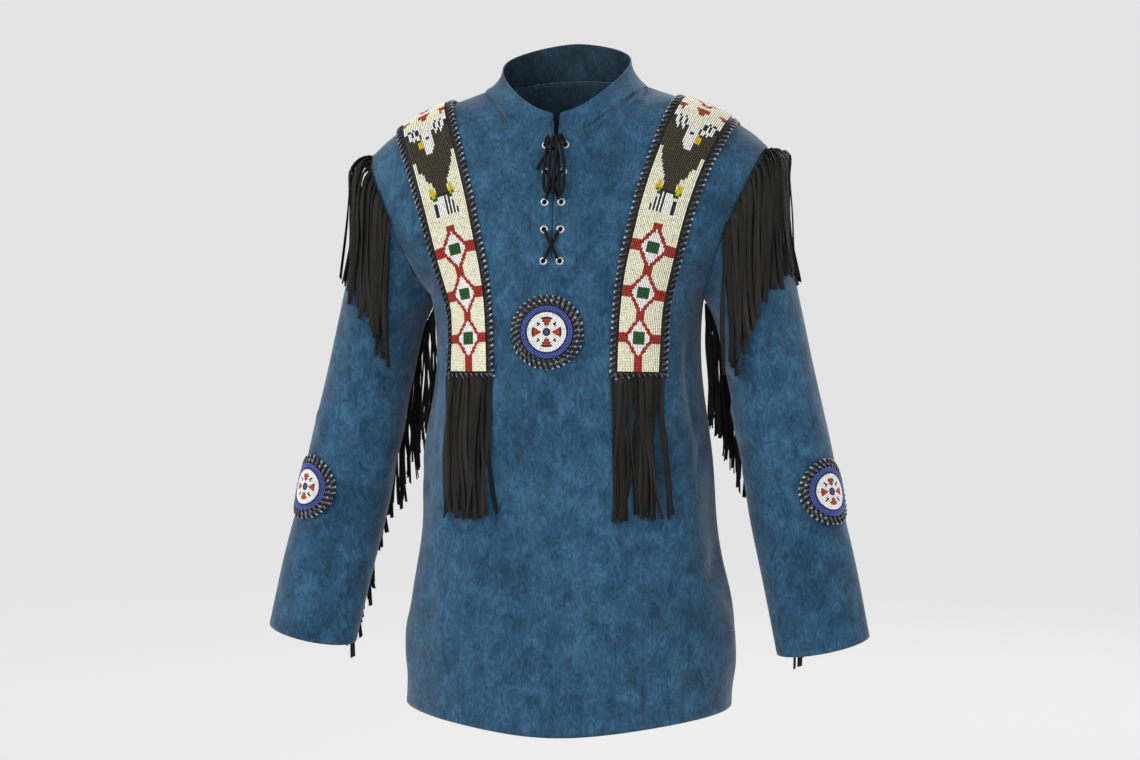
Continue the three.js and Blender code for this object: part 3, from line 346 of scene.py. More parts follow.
def forward_sheet(wall):
    """Of a wall's two large sheets, the one that faces forwards."""
    sheets = smooth_regions(wall)[:2]
    facing = [sum((f.normal.y * f.calc_area() for f in sheet), 0.0) for sheet in sheets]
    return sheets[int(np.argmin(facing))]


def coordinates(mesh):
    places = np.empty(len(mesh.vertices) * 3)
    mesh.vertices.foreach_get("co", places)
    return places.reshape(-1, 3)


def move_points(mesh, places):
    mesh.vertices.foreach_set("co", places.ravel())
    mesh.update()


def normals(mesh):
    out = np.empty(len(mesh.vertices) * 3)
    mesh.vertex_normals.foreach_get("vector", out)
    return out.reshape(-1, 3)


def discard(piece):
    mesh = piece.data
    bpy.data.objects.remove(piece)
    bpy.data.meshes.remove(mesh)


def finished(piece, name, levels):
    """A plain mesh object of that name from piece with its modifiers, which piece then makes way for."""
    if levels:
        finer = piece.modifiers.new("finer", "SUBSURF")
        finer.levels = finer.render_levels = levels
        finer.use_limit_surface = False
    evaluated = piece.evaluated_get(bpy.context.evaluated_depsgraph_get())
    mesh = bpy.data.meshes.new_from_object(evaluated)
    discard(piece)
    mesh.name = name
    return in_scene(name, mesh)


def finer_copy(node, name, materials, levels):
    """A copy of a CAD wall with cut edges kept sharp and the rest smooth, through the wall's own points."""
    wall = merged_quads(node)
    sharp = wall.edges.layers.float.new("crease_edge")
    for edge in wall.edges:
        if edge.calc_face_angle(math.pi) > CUT_ANGLE:
            edge[sharp] = 1.0
    regions = smooth_regions(wall, upright=not node.startswith("sleeve"))
    for index, region in enumerate(regions):
        for face in region:
            face.material_index = min(index, len(materials) - 1)
            face.smooth = True
    mesh = bpy.data.meshes.new(name + "_cut")
    wall.to_mesh(mesh)
    wall.free()
    for material in materials:
        mesh.materials.append(material)
    piece = in_scene(name + "_cut", mesh)
    points = coordinates(mesh)
    trial = piece.copy()
    trial.data = mesh.copy()
    bpy.context.scene.collection.objects.link(trial)
    trial = finished(trial, name + "_trial", 1)
    shrunk = coordinates(trial.data)[: len(points)]
    discard(trial)
    move_points(mesh, 2 * points - shrunk)
    return finished(piece, name, levels)


def corner_kinds(mesh):
    """Each corner's vertex, and the material number of the face it belongs to."""
    kinds = np.empty(len(mesh.polygons), np.int32)
    sizes = np.empty(len(mesh.polygons), np.int32)
    corners = np.empty(len(mesh.loops), np.int32)
    mesh.polygons.foreach_get("material_index", kinds)
    mesh.polygons.foreach_get("loop_total", sizes)
    mesh.loops.foreach_get("vertex_index", corners)
    return corners, np.repeat(kinds, sizes)


def relax(mesh, rounds, above=-math.inf):
    """Evens out a wall's two sheets above a height and leaves its cut edges where they are."""
    places = coordinates(mesh)
    count = len(places)
    ends = np.empty(len(mesh.edges) * 2, np.int32)
    mesh.edges.foreach_get("vertices", ends)
    a, b = ends.reshape(-1, 2).T
    corners, kinds = corner_kinds(mesh)
    free = np.ones(count)
    free[corners[kinds > 1]] = 0
    free[places[:, 2] < above] = 0
    near = np.bincount(a, minlength=count) + np.bincount(b, minlength=count)
    for _ in range(rounds):
        total = np.stack([
            np.bincount(a, places[b, k], count) + np.bincount(b, places[a, k], count) for k in range(3)
        ], 1)
        places += 0.5 * free[:, None] * (total / near[:, None] - places)
    move_points(mesh, places)


def close_up(mesh, distance):
    """Moves the cut edges outwards along the sheet, so that panels meet at their seams."""
    places = coordinates(mesh)
    push = np.zeros_like(places)
    for polygon in mesh.polygons:
        if polygon.material_index > 1:
            for vertex in polygon.vertices:
                push[vertex] += polygon.normal[:]
    size = np.linalg.norm(push, axis=1)
    moved = size > 1e-6
    places[moved] += distance * push[moved] / size[moved, None]
    move_points(mesh, places)


# Creases of the body, as lines from one place to another: angle round the body in degrees (0 at the front,
# positive to the left side), height, half width, and how high the crease stands, less than 0 for a trough
BODY_CREASES = [
    (62, -0.262, 48, -0.345, 0.010, -0.0030), (66, -0.285, 60, -0.395, 0.012, 0.0026),
    (72, -0.300, 76, -0.440, 0.011, -0.0028), (56, -0.300, 44, -0.400, 0.013, 0.0022),
    (84, -0.420, 70, -0.470, 0.010, -0.0022), (88, -0.560, 68, -0.610, 0.013, -0.0026),
    (80, -0.640, 92, -0.730, 0.015, 0.0026), (58, -0.620, 64, -0.740, 0.014, -0.0020),
    (-60, -0.262, -50, -0.350, 0.010, -0.0030), (-66, -0.290, -64, -0.420, 0.012, 0.0026),
    (-74, -0.310, -80, -0.400, 0.010, -0.0026), (-56, -0.380, -52, -0.500, 0.013, 0.0020),
    (-84, -0.460, -68, -0.500, 0.011, -0.0022), (-86, -0.640, -72, -0.720, 0.014, 0.0026),
    (-60, -0.560, -66, -0.700, 0.015, -0.0022), (14, -0.240, 22, -0.330, 0.012, 0.0014),
    (-20, -0.400, -12, -0.520, 0.018, -0.0014), (10, -0.560, 16, -0.700, 0.020, 0.0016),
    (118, -0.270, 134, -0.360, 0.011, -0.0032), (110, -0.300, 112, -0.430, 0.012, 0.0028),
    (128, -0.430, 108, -0.480, 0.012, -0.0024), (140, -0.330, 158, -0.420, 0.015, 0.0022),
    (104, -0.600, 122, -0.660, 0.014, -0.0028), (150, -0.520, 144, -0.680, 0.018, 0.0022),
    (172, -0.400, 168, -0.560, 0.017, -0.0020), (-120, -0.270, -136, -0.350, 0.011, -0.0032),
    (-112, -0.310, -110, -0.440, 0.012, 0.0028), (-126, -0.440, -106, -0.470, 0.012, -0.0024),
    (-146, -0.340, -160, -0.440, 0.015, 0.0022), (-102, -0.610, -118, -0.680, 0.014, -0.0028),
    (-152, -0.540, -148, -0.700, 0.018, 0.0022), (-176, -0.620, -166, -0.740, 0.018, 0.0020),
]
BODY_ROUND = 0.15  # radius that turns an angle round the body into a length
CREASE_DEPTH = 1.5  # the creases as drawn, made this much deeper
CALM_NEAR, CALM_FADE = 0.006, 0.03  # flat this near to what is sewn on, then fading in over this much
AT_A_TIME = 4000  # points that are measured against all others in one go


def soft_step(share):
    return share * share * (3 - 2 * share)


def crease_lines(table, radius):
    """A crease table's rows with the angles as lengths round that radius."""
    return [
        (math.radians(a0) * radius, v0, math.radians(a1) * radius, v1, wide, high)
        for a0, v0, a1, v1, wide, high in table
    ]


def along_lines(u, v, lines):
    """How far soft creases lift the points (u, v): each line is u0, v0, u1, v1, half width, height."""
    lift = np.zeros(len(u))
    for u0, v0, u1, v1, wide, high in lines:
        du, dv = u1 - u0, v1 - v0
        share = ((u - u0) * du + (v - v0) * dv) / (du * du + dv * dv)
        along = np.clip(share, 0, 1)
        aside = np.hypot(u - u0 - along * du, v - v0 - along * dv) / wide
        ends = np.clip(np.minimum(share + 0.15, 1.15 - share) / 0.5, 0, 1)
        lift += CREASE_DEPTH * high * np.exp(-aside * aside) * soft_step(ends)
    return lift


# Points all over what is sewn on the panels, which lies flat
SEWN_ON = ("strip_base", "chest_rosette_base", "sleeve_rosette_base")
flat_places = np.concatenate([
    coordinates(piece.data) for node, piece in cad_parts.items() if node.startswith(SEWN_ON)
])


def calm(places):
    """0 at what is sewn on and 1 well away from it."""
    share = np.ones(len(places))
    for start in range(0, len(places), AT_A_TIME):
        part = slice(start, start + AT_A_TIME)
        gap = np.sqrt(((places[part, None] - flat_places[None]) ** 2).sum(2)).min(1)
        share[part] = np.clip((gap - CALM_NEAR) / CALM_FADE, 0, 1)
    return soft_step(share)


def crease_body(mesh):
    places = coordinates(mesh)
    turn = np.arctan2(places[:, 0], -places[:, 1])
    lines = crease_lines(BODY_CREASES, BODY_ROUND)
    turns_round = (0, 2 * math.pi, -2 * math.pi)
    lift = sum(along_lines((turn + more) * BODY_ROUND, places[:, 2], lines) for more in turns_round)
    return lift * calm(places)


def press(piece, lift):
    """Moves a wall's points by lift along the outer sheet's normals, so that its thickness stays."""
    mesh = piece.data
    places = coordinates(mesh)
    out = normals(mesh)
    corners, kinds = corner_kinds(mesh)
    out[corners[kinds == 1]] *= -1
    out[corners[kinds > 1]] = 0
    move_points(mesh, places + out * lift[:, None])


BODY_SKINS = ("front", "side_front_left", "side_front_right", "back")
RELAX_ROUNDS = {"body": 24, "shoulders": 60, "sleeve": 8}
SHOULDERS_FROM = -0.09
SEAM_CLOSE, COLLAR_CLOSE = 0.0004, 0.0012  # how far cut edges reach into a seam
SKIN_TONES = {"side_front_left": -0.012, "side_front_right": 0.014, "sleeve_left": -0.006, "sleeve_right": 0.004}
panels = {}


def hold(mesh, label, values, kind="FLOAT"):
    """Keeps a number, a way or a colour at each of a mesh's points."""
    part = {"FLOAT": "value", "FLOAT_VECTOR": "vector", "FLOAT_COLOR": "color"}[kind]
    mesh.attributes.new(label, kind, "POINT").data.foreach_set(part, np.asarray(values, float).ravel())


def sew_in(piece, node):
    close_up(piece.data, COLLAR_CLOSE if node == "collar" else SEAM_CLOSE)
    hold(piece.data, "skin_tone", np.full(len(piece.data.vertices), SKIN_TONES.get(node, 0.0)))
    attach(piece, "root")
    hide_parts(node)


for node in BODY_SKINS:
    levels = BACK_LEVELS if node == "back" else PANEL_LEVELS
    panels[node] = finer_copy(node, node + "_skin", [suede_face, suede_back, suede_cut], levels)
    relax(panels[node].data, RELAX_ROUNDS["body"])
    relax(panels[node].data, RELAX_ROUNDS["shoulders"], above=SHOULDERS_FROM)
    press(panels[node], crease_body(panels[node].data))
panels["collar"] = finer_copy("collar", "collar_skin", [suede_face, suede_back, suede_cut], PANEL_LEVELS)

# Sleeves: each is one skin with its seam along the back of the arm, behind the fringe. Around the elbow and
# below the armhole the cloth breaks into short creases.
SLEEVE_CREASES = [  # angle round the sleeve (0 at its outer edge, 90 in front), distance from the armhole
    (170, 0.050, 120, 0.085, 0.009, -0.0030), (160, 0.085, 105, 0.120, 0.010, 0.0026),
    (176, 0.180, 118, 0.205, 0.009, -0.0026), (184, 0.225, 100, 0.235, 0.010, 0.0024),
    (178, 0.262, 112, 0.285, 0.009, -0.0028), (172, 0.300, 124, 0.335, 0.010, 0.0022),
    (40, 0.120, 70, 0.200, 0.013, -0.0016), (20, 0.250, 60, 0.280, 0.012, 0.0018),
    (100, 0.380, 132, 0.440, 0.011, -0.0020), (30, 0.470, 80, 0.520, 0.012, 0.0018),
    (150, 0.480, 110, 0.540, 0.011, -0.0022), (60, 0.560, 120, 0.585, 0.012, 0.0016),
    (200, 0.060, 250, 0.110, 0.010, -0.0030), (210, 0.240, 270, 0.255, 0.010, -0.0026),
    (220, 0.290, 290, 0.320, 0.011, 0.0026), (300, 0.140, 330, 0.230, 0.013, 0.0018),
    (250, 0.420, 310, 0.470, 0.012, -0.0020), (290, 0.520, 240, 0.570, 0.012, 0.0020),
]
SLEEVE_ROUND = 0.058  # radius that turns an angle round the sleeve into a length
ARMHOLE_FADE = 0.03  # creases fade in over this much from the armhole
SIDES = ("left", "right")


def tube_rows(node):
    """The outer sheet of a tube wall as rows of points round it, the first at its end nearest the body."""
    wall = merged_quads(node)
    sheet = smooth_regions(wall)[0]
    rim = {e for face in sheet for e in face.edges if sum(f in sheet for f in e.link_faces) == 1}
    row = ordered_loop(rim, min((v for e in rim for v in e.verts), key=lambda v: abs(v.co.x)))
    rows = marched(row, sheet, True)
    wall.free()
    return rows


def ordered_loop(edges, start):
    """The vertices of a closed run of edges, in order from start."""
    loop = [start]
    edge = next(e for e in start.link_edges if e in edges)
    while True:
        following = edge.other_vert(loop[-1])
        if following is start:
            return loop
        loop.append(following)
        edge = next(e for e in following.link_edges if e in edges and e is not edge)


def marched(row, sheet, closed):
    """Rows of points of a sheet of quads, from its first row of vertices on."""
    rows = [row]
    used = set()
    while True:
        row = rows[-1]
        pairs = list(zip(row, row[1:] + row[:1])) if closed else list(zip(row, row[1:]))
        following = []
        for a, b in pairs:
            unused = (f for f in a.link_faces if f in sheet and f not in used and b in f.verts)
            face = next(unused, None)
            if face is None or len(face.verts) != 4:
                return np.array([[v.co[:] for v in r] for r in rows])
            used.add(face)
            corners = list(face.verts)
            across = {a: None, b: None}
            for vertex in (a, b):
                i = corners.index(vertex)
                beside = (corners[i - 1], corners[(i + 1) % 4])
                across[vertex] = next(c for c in beside if c is not a and c is not b)
            following.append(across[a])
            last = across[b]
        if not closed:
            following.append(last)
        rows.append(following)


class Tube:
    """A sleeve as angle round it and distance from the armhole."""

    def __init__(self, node):
        rows = tube_rows(node)
        out = np.sign(rows[:, :, 0].mean())
        first = int(np.argmax(out * rows[0, :, 0]))
        rows = np.roll(rows, -first, axis=1)
        if rows[0, len(rows[0]) // 4, 1] > rows[0, -len(rows[0]) // 4, 1]:
            rows = np.concatenate([rows[:, :1], rows[:, :0:-1]], axis=1)
        self.rows = rows
        self.axis = rows.mean(1)
        self.run = np.concatenate([[0], np.cumsum(np.linalg.norm(np.diff(self.axis, axis=0), axis=1))])
        self.out = out

    def unrolled(self, places):
        """Angle round the sleeve and distance from the armhole of each place."""
        fine = np.linspace(0, self.run[-1], 200)
        axis = np.stack([np.interp(fine, self.run, self.axis[:, i]) for i in range(3)], 1)
        nearest = np.empty(len(places), int)
        for start in range(0, len(places), AT_A_TIME):
            part = slice(start, start + AT_A_TIME)
            nearest[part] = ((places[part, None] - axis[None]) ** 2).sum(2).argmin(1)
        away = places - axis[nearest]
        along = np.gradient(axis, axis=0)[nearest]
        along /= np.linalg.norm(along, axis=1)[:, None]
        level = np.cross(along, [0, 1, 0])
        level /= np.linalg.norm(level, axis=1)[:, None]
        level *= np.sign(level[:, :1] * self.out)
        turn = np.arctan2(-away[:, 1], (away * level).sum(1))
        return np.mod(turn, 2 * math.pi), fine[nearest]


sleeve_tubes = {side: Tube("sleeve_" + side) for side in SIDES}
for side, tube in sleeve_tubes.items():
    node = "sleeve_" + side
    panels[node] = finer_copy(node, node + "_skin", [suede_face, suede_back, suede_cut], PANEL_LEVELS)
    relax(panels[node].data, RELAX_ROUNDS["sleeve"])
    places = coordinates(panels[node].data)
    turn, run = tube.unrolled(places)
    lift = along_lines(turn * SLEEVE_ROUND, run, crease_lines(SLEEVE_CREASES, SLEEVE_ROUND))
    press(panels[node], lift * calm(places) * np.clip(run / ARMHOLE_FADE, 0, 1))
for node, piece in panels.items():
    sew_in(piece, node)

# Topstitching: a row of matching thread along each edge of every panel, which holds the seam allowance or hem
# down, and two rows beside the slit, where a facing backs the eyelets.
STITCH_PITCH = 0.0042
STITCH_LONG = 0.0031
STITCH_HALF = 0.00032
STITCH_INSET = 0.0045
CORNER_SHARE = 0.6  # a row stops where it comes nearer to an edge than this share of its inset
THREAD_BLUE = (34, 62, 82)
PLACKET_HALF = 0.023
PLACKET_TOP, PLACKET_LOW = -0.034, -0.236


def geometry_tree(name, inputs):
    """A Geometry Nodes tree with a geometry, the named inputs, and a geometry out."""
    tree = bpy.data.node_groups.new(name, "GeometryNodeTree")
    tree.interface.new_socket("Geometry", in_out="INPUT", socket_type="NodeSocketGeometry")
    tree.interface.new_socket("Geometry", in_out="OUTPUT", socket_type="NodeSocketGeometry")
    for label, kind in inputs.items():
        tree.interface.new_socket(label, in_out="INPUT", socket_type="NodeSocket" + kind)
    graph = Graph(tree)
    source = graph.node("NodeGroupInput")
    graph.given = {label: Value(graph, source.outputs[label]) for label in ("Geometry", *inputs)}
    return graph


def end_tree(graph, geometry):
    """Every tree ends in realized instances with a material."""
    real = graph.value("GeometryNodeRealizeInstances", sockets={"Geometry": geometry})
    dressed = {"Geometry": real, "Material": graph.given["Finish"]}
    last = graph.value("GeometryNodeSetMaterial", sockets=dressed)
    graph.node("NodeGroupOutput", sockets={"Geometry": last})
    return graph.tree


def grown(name, points_piece, tree, values):
    """The mesh that a tree makes from a piece, as a plain mesh object."""
    grow = points_piece.modifiers.new("grow", "NODES")
    grow.node_group = tree
    for item in tree.interface.items_tree:
        if item.in_out == "INPUT" and item.name in values:
            grow[item.identifier] = values[item.name]
    points_piece.update_tag()
    return finished(points_piece, name, 0)


def vector_attribute(graph, name):
    return graph.value("GeometryNodeInputNamedAttribute", {"data_type": "FLOAT_VECTOR"}, {"Name": name})


def path_tree():
    """Sets a piece at even steps along a path whose points hold their way out."""
    graph = geometry_tree("pieces_along_a_path", {"Pitch": "Float", "Piece": "Object", "Finish": "Material"})
    line = graph.value("GeometryNodeMeshToCurve", sockets={"Mesh": graph.given["Geometry"]})
    steps = {"Curve": line, "Length": graph.given["Pitch"]}
    even = graph.value("GeometryNodeResampleCurve", {"mode": "LENGTH"}, steps)
    spots = graph.node("GeometryNodeCurveToPoints", {"mode": "EVALUATED"}, {"Curve": even})
    tangent = Value(graph, spots.outputs["Tangent"])
    ways = {"Primary Axis": tangent, "Secondary Axis": vector_attribute(graph, "out")}
    turned = graph.value("FunctionNodeAxesToRotation", {"primary_axis": "Y", "secondary_axis": "Z"}, ways)
    model = graph.node("GeometryNodeObjectInfo", sockets={"Object": graph.given["Piece"], "As Instance": True})
    sockets = {
        "Points": Value(graph, spots.outputs["Points"]),
        "Instance": Value(graph, model.outputs["Geometry"]),
        "Rotation": turned,
    }
    return end_tree(graph, graph.value("GeometryNodeInstanceOnPoints", sockets=sockets))


along_path = path_tree()


def path_piece(points, out, edges):
    """An edge-only mesh along points, each of which holds its way out."""
    mesh = bpy.data.meshes.new("path")
    mesh.from_pydata([tuple(p) for p in points], edges, [])
    hold(mesh, "out", out, "FLOAT_VECTOR")
    return in_scene("path", mesh)


def run_of_edges(count, closed):
    return [(i, i + 1) for i in range(count - 1)] + ([(count - 1, 0)] if closed else [])


def edge_rows(piece, inset):
    """Points, ways out and edges of rows that run beside each edge of a panel's face."""
    wall = bmesh.new()
    wall.from_mesh(piece.data)
    wall.verts.ensure_lookup_table()
    face_side = [f for f in wall.faces if f.material_index == 0]
    tree = BVHTree.FromPolygons([v.co for v in wall.verts], [[v.index for v in f.verts] for f in face_side])
    spots, outs, edges, number = [], [], [], {}
    for edge in wall.edges:
        kinds = sorted(f.material_index for f in edge.link_faces)
        if len(kinds) == 2 and kinds[0] == 0 and kinds[1] > 0:
            face = next(f for f in edge.link_faces if f.material_index == 0)
            for vertex in edge.verts:
                if vertex not in number:
                    number[vertex] = len(spots)
                    spots.append(vertex.co.copy())
                    outs.append([])
            inward = face.calc_center_median() - edge.verts[0].co
            ahead = (edge.verts[1].co - edge.verts[0].co).normalized()
            inward = (inward - inward.dot(ahead) * ahead).normalized()
            for vertex in edge.verts:
                outs[number[vertex]].append(inward)
            edges.append((number[edge.verts[0]], number[edge.verts[1]]))
    moved = []
    ways = []
    for spot, inward in zip(spots, outs):
        place, normal, _, _ = tree.find_nearest(spot + inset * (sum(inward, Vector()) / len(inward)))
        moved.append(place)
        ways.append(normal)
    gaps = []
    for number_here, place in enumerate(moved):
        beside = spots[max(0, number_here - 1) : number_here + 2]
        gaps.append(min((place - spot).length for spot in beside))
    least = CORNER_SHARE * inset
    edges = [(a, b) for a, b in edges if min(gaps[a], gaps[b]) > least and (moved[a] - moved[b]).length > 1e-4]
    wall.free()
    return moved, [w[:] for w in ways], edges


def stitch_shape():
    """One stitch: a short plump length of thread lying in the cloth."""
    half = STITCH_LONG / 2
    points = [(0, -half, -STITCH_HALF)]
    for y in (-half * 0.62, half * 0.62):
        points += [(x * STITCH_HALF, y, z * STITCH_HALF) for x, z in ((-1, 0), (0, 1), (1, 0), (0, -1))]
    points.append((0, half, -STITCH_HALF))
    faces = [(0, 1 + (k + 1) % 4, 1 + k) for k in range(4)] + [(9, 5 + k, 5 + (k + 1) % 4) for k in range(4)]
    faces += [(1 + k, 1 + (k + 1) % 4, 5 + (k + 1) % 4, 5 + k) for k in range(4)]
    return points, faces


thread = Finish("sewing_thread", Roughness=0.7, Sheen_Weight=0.2)
thread_colour = thread.blend(thread.noise(700, 2), paint(*THREAD_BLUE), paint(*SUEDE_PALE))
thread_finish = thread.dress(thread_colour)


def mesh_piece(name, points, faces, materials, turn_out=True):
    """A mesh object of points and faces, its closed surface turned to face outwards."""
    mesh = bpy.data.meshes.new(name)
    mesh.from_pydata([tuple(p) for p in points], [], faces)
    if turn_out:
        body = bmesh.new()
        body.from_mesh(mesh)
        if body.calc_volume(signed=True) < 0:
            bmesh.ops.reverse_faces(body, faces=body.faces[:])
        body.to_mesh(mesh)
        body.free()
    for material in materials:
        mesh.materials.append(material)
    mesh.shade_smooth()
    return in_scene(name, mesh)


def joined(name, pieces):
    """One mesh object of several, which make way for it."""
    whole = bmesh.new()
    materials = []
    for piece in pieces:
        index_of = []
        for material in piece.data.materials:
            if material not in materials:
                materials.append(material)
            index_of.append(materials.index(material))
        before = len(whole.faces)
        whole.from_mesh(piece.data)
        whole.faces.ensure_lookup_table()
        for face in whole.faces[before:]:
            face.material_index = index_of[face.material_index] if index_of else 0
        discard(piece)
    mesh = bpy.data.meshes.new(name)
    whole.to_mesh(mesh)
    whole.free()
    for material in materials:
        mesh.materials.append(material)
    return in_scene(name, mesh)


def outer_tree(pieces):
    """The outer faces of panels, for hanging things over."""
    places = []
    faces = []
    for piece in pieces:
        mesh = piece.data
        faces += [[v + len(places) for v in p.vertices] for p in mesh.polygons if p.material_index == 0]
        places += [v.co.copy() for v in mesh.vertices]
    return BVHTree.FromPolygons(places, faces)


stitch = mesh_piece("stitch", *stitch_shape(), [])


def stitched(name, points, out, edges):
    path = path_piece(points, out, edges)
    return grown(name, path, along_path, {"Pitch": STITCH_PITCH, "Piece": stitch, "Finish": thread_finish})


body_cloth = outer_tree([panels[n] for n in BODY_SKINS])
sewn = [stitched("edge_stitches", *edge_rows(panel, STITCH_INSET)) for panel in panels.values()]
heights = np.linspace(PLACKET_TOP, PLACKET_LOW, 60)
placket = [(-PLACKET_HALF, z) for z in heights] + [(PLACKET_HALF, z) for z in heights[::-1]]
hits = [body_cloth.ray_cast(Vector((x, -1, z)), Vector((0, 1, 0))) for x, z in placket]
places, ways = [hit[0] for hit in hits], [hit[1][:] for hit in hits]
sewn.append(stitched("placket_stitches", places, ways, run_of_edges(len(hits), False)))
piece = joined("topstitching", sewn)
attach(piece, "root")

# Shoulder strips: a band of firm black leather over each shoulder seam, laced along its edges with a flat thong
# that passes through holes near the edge and round it.
STRIP_COLUMNS = (-0.034, -0.025, 0.0, 0.025, 0.034)
STRIP_THICK = 0.0018
STRIP_BLACK = (15, 14, 16)
STRIP_WORN = (32, 28, 30)
THONG_BLACK = (12, 12, 22)
# paler tone of the thong: partly wear, partly painted highlight on the wraps, laid in noise patches
THONG_WEAR_AND_HIGHLIGHT = (66, 62, 80)
# painted highlight: the pale colour of the glints where each wrap turns over the edge
THONG_GLINT = (170, 182, 200)
THONG_PITCH = 0.0073
THONG_WIDE = 0.0030
THONG_THICK = 0.0009
# One wrap of the thong: across the edge (outwards), along it, and out from the leather
WRAP_LINE = [
    (-0.0058, 0.0000, -0.0008), (-0.0055, 0.0003, 0.0005), (-0.0040, 0.0013, 0.0010), (-0.0016, 0.0026, 0.0010),
    (0.0004, 0.0037, 0.0008), (0.0013, 0.0042, 0.0000), (0.0013, 0.0044, -0.0014), (0.0004, 0.0045, -0.0022),
]
GLINT_STEPS = (4, 5, 6)  # of the line: where the thong turns over the edge, a painted highlight (glint) is laid on its colour
STRIP_GRID = (15, 121)  # points across a strip and along it
IN_FRONT = 0.3  # this share of a strip's length lies over the chest
LACING_INSET = 0.0008  # the lacing's path runs this far inside the leather's edge
LACING_SIDES = 0.001  # and along the sides it stops this far from the ends
LACING_ENDS = 0.003  # along the ends it stops this far from the sides
SIDE_POINTS, END_POINTS = 200, 40


def spline_weights(knots, at, loop=False):
    """The share that each knot's value has in a natural cubic spline, at each place of `at`."""
    knots = np.asarray(knots, float)
    at = np.asarray(at, float)
    count = len(knots)
    gap = np.diff(knots)
    bend = np.zeros((count, count))
    pull = np.zeros((count, count))
    bend[0, 0] = bend[-1, -1] = 1
    for i in range(1, count - 1):
        bend[i, i - 1 : i + 2] = gap[i - 1], 2 * (gap[i - 1] + gap[i]), gap[i]
        pull[i, i - 1 : i + 2] = 6 / gap[i - 1], -6 / gap[i - 1] - 6 / gap[i], 6 / gap[i]
    curve = np.linalg.solve(bend, pull)
    cell = np.clip(np.searchsorted(knots, at) - 1, 0, count - 2)
    wide = gap[cell]
    b = (at - knots[cell]) / wide
    a = 1 - b
    same = np.eye(count)
    return (
        a[:, None] * same[cell] + b[:, None] * same[cell + 1]
        + ((a**3 - a) * wide**2 / 6)[:, None] * curve[cell]
        + ((b**3 - b) * wide**2 / 6)[:, None] * curve[cell + 1]
    )


class Sheet:
    """A smooth surface through rows and columns of points, by distance across it and along it."""

    flipped = False

    def __init__(self, rows, across):
        self.rows = rows
        self.across = across
        middle = rows[:, len(across) // 2]
        self.along = np.concatenate([[0], np.cumsum(np.linalg.norm(np.diff(middle, axis=0), axis=1))])
        self.long = self.along[-1]

    def at(self, u, v):
        u, v = np.broadcast_arrays(np.asarray(u, float), np.asarray(v, float))
        shape = u.shape
        across = spline_weights(self.across, u.ravel())
        along = spline_weights(self.along, v.ravel())
        return np.einsum("nc,nr,rcd->nd", across, along, self.rows).reshape(shape + (3,))

    def ways(self, u, v, step=0.0004):
        """Place, way across, way along and way out at each (u, v)."""
        across = self.at(np.add(u, step), v) - self.at(np.subtract(u, step), v)
        along = self.at(u, np.add(v, step)) - self.at(u, np.subtract(v, step))
        out = np.cross(along, across)
        unit = [w / np.linalg.norm(w, axis=-1, keepdims=True) for w in (across, along, out)]
        if self.flipped:
            unit[2] = -unit[2]
        return self.at(u, v), *unit


def open_rows(node):
    """The outer sheet of an open wall as rows of points, the first row at its lower front end."""
    wall = merged_quads(node)
    sheet = forward_sheet(wall)
    rim = {e for face in sheet for e in face.edges if sum(f in sheet for f in e.link_faces) == 1}
    rim_points = {v for e in rim for v in e.verts}
    corners = [v for v in rim_points if sum(f in sheet for f in v.link_faces) == 1]
    start = min(corners, key=lambda v: v.co.z)
    loop = ordered_loop(rim, start)
    turns = [i for i, v in enumerate(loop) if v in corners] + [len(loop)]
    sides = [(loop + loop[:1])[a : b + 1] for a, b in zip(turns, turns[1:])]
    ends = sorted(sides, key=len)[:2]
    row = min(ends, key=lambda side: sum(v.co.z for v in side) / len(side))
    if abs(row[0].co.x) > abs(row[-1].co.x):
        row = row[::-1]
    rows = marched(row, sheet, False)
    wall.free()
    return rows


def slab(name, outer, inner, materials):
    """A closed wall between two grids of points."""
    rows, columns = outer.shape[:2]
    points = np.concatenate([outer.reshape(-1, 3), inner.reshape(-1, 3)])
    at = np.arange(rows * columns).reshape(rows, columns)
    cells = np.stack([at[:-1, :-1], at[:-1, 1:], at[1:, 1:], at[1:, :-1]], -1).reshape(-1, 4)
    ring = np.concatenate([at[0, :-1], at[:-1, -1], at[-1, :0:-1], at[:0:-1, 0]])
    following = np.roll(ring, -1)
    under = rows * columns
    sides = np.stack([following, ring, ring + under, following + under], -1)
    faces = np.concatenate([cells, cells[:, ::-1] + under, sides])
    return mesh_piece(name, points, faces.tolist(), materials)


THONG_SECTION = np.array([(-0.5, 0.0), (-0.36, 0.5), (0.36, 0.5), (0.5, 0.0), (0.36, -0.5), (-0.36, -0.5)])
THONG_CUT_EDGE_AND_HIGHLIGHT = (1.0, 0.15, 0.15, 1.0, 0.15, 0.15)


def thong(line, facing, wide, thick):
    """Points and faces of a flat thong along a line, its flat side towards facing."""
    line = np.asarray(line, float)
    ahead = np.gradient(line, axis=0)
    ahead /= np.linalg.norm(ahead, axis=1)[:, None]
    out = facing - (facing * ahead).sum(1)[:, None] * ahead
    out /= np.linalg.norm(out, axis=1)[:, None]
    across = np.cross(ahead, out)
    wide = np.broadcast_to(wide, len(line))[:, None, None]
    rings = line[:, None] + THONG_SECTION[None, :, :1] * wide * across[:, None]
    rings = rings + THONG_SECTION[None, :, 1:] * thick * out[:, None]
    sides = len(THONG_SECTION)
    at = np.arange(len(line) * sides).reshape(len(line), sides)
    nearer, beside = at[:-1], np.roll(at[:-1], -1, axis=1)
    faces = np.stack([nearer, beside, beside + sides, nearer + sides], -1).reshape(-1, 4).tolist()
    return rings.reshape(-1, 3), faces + [at[0, ::-1].tolist(), at[-1].tolist()]


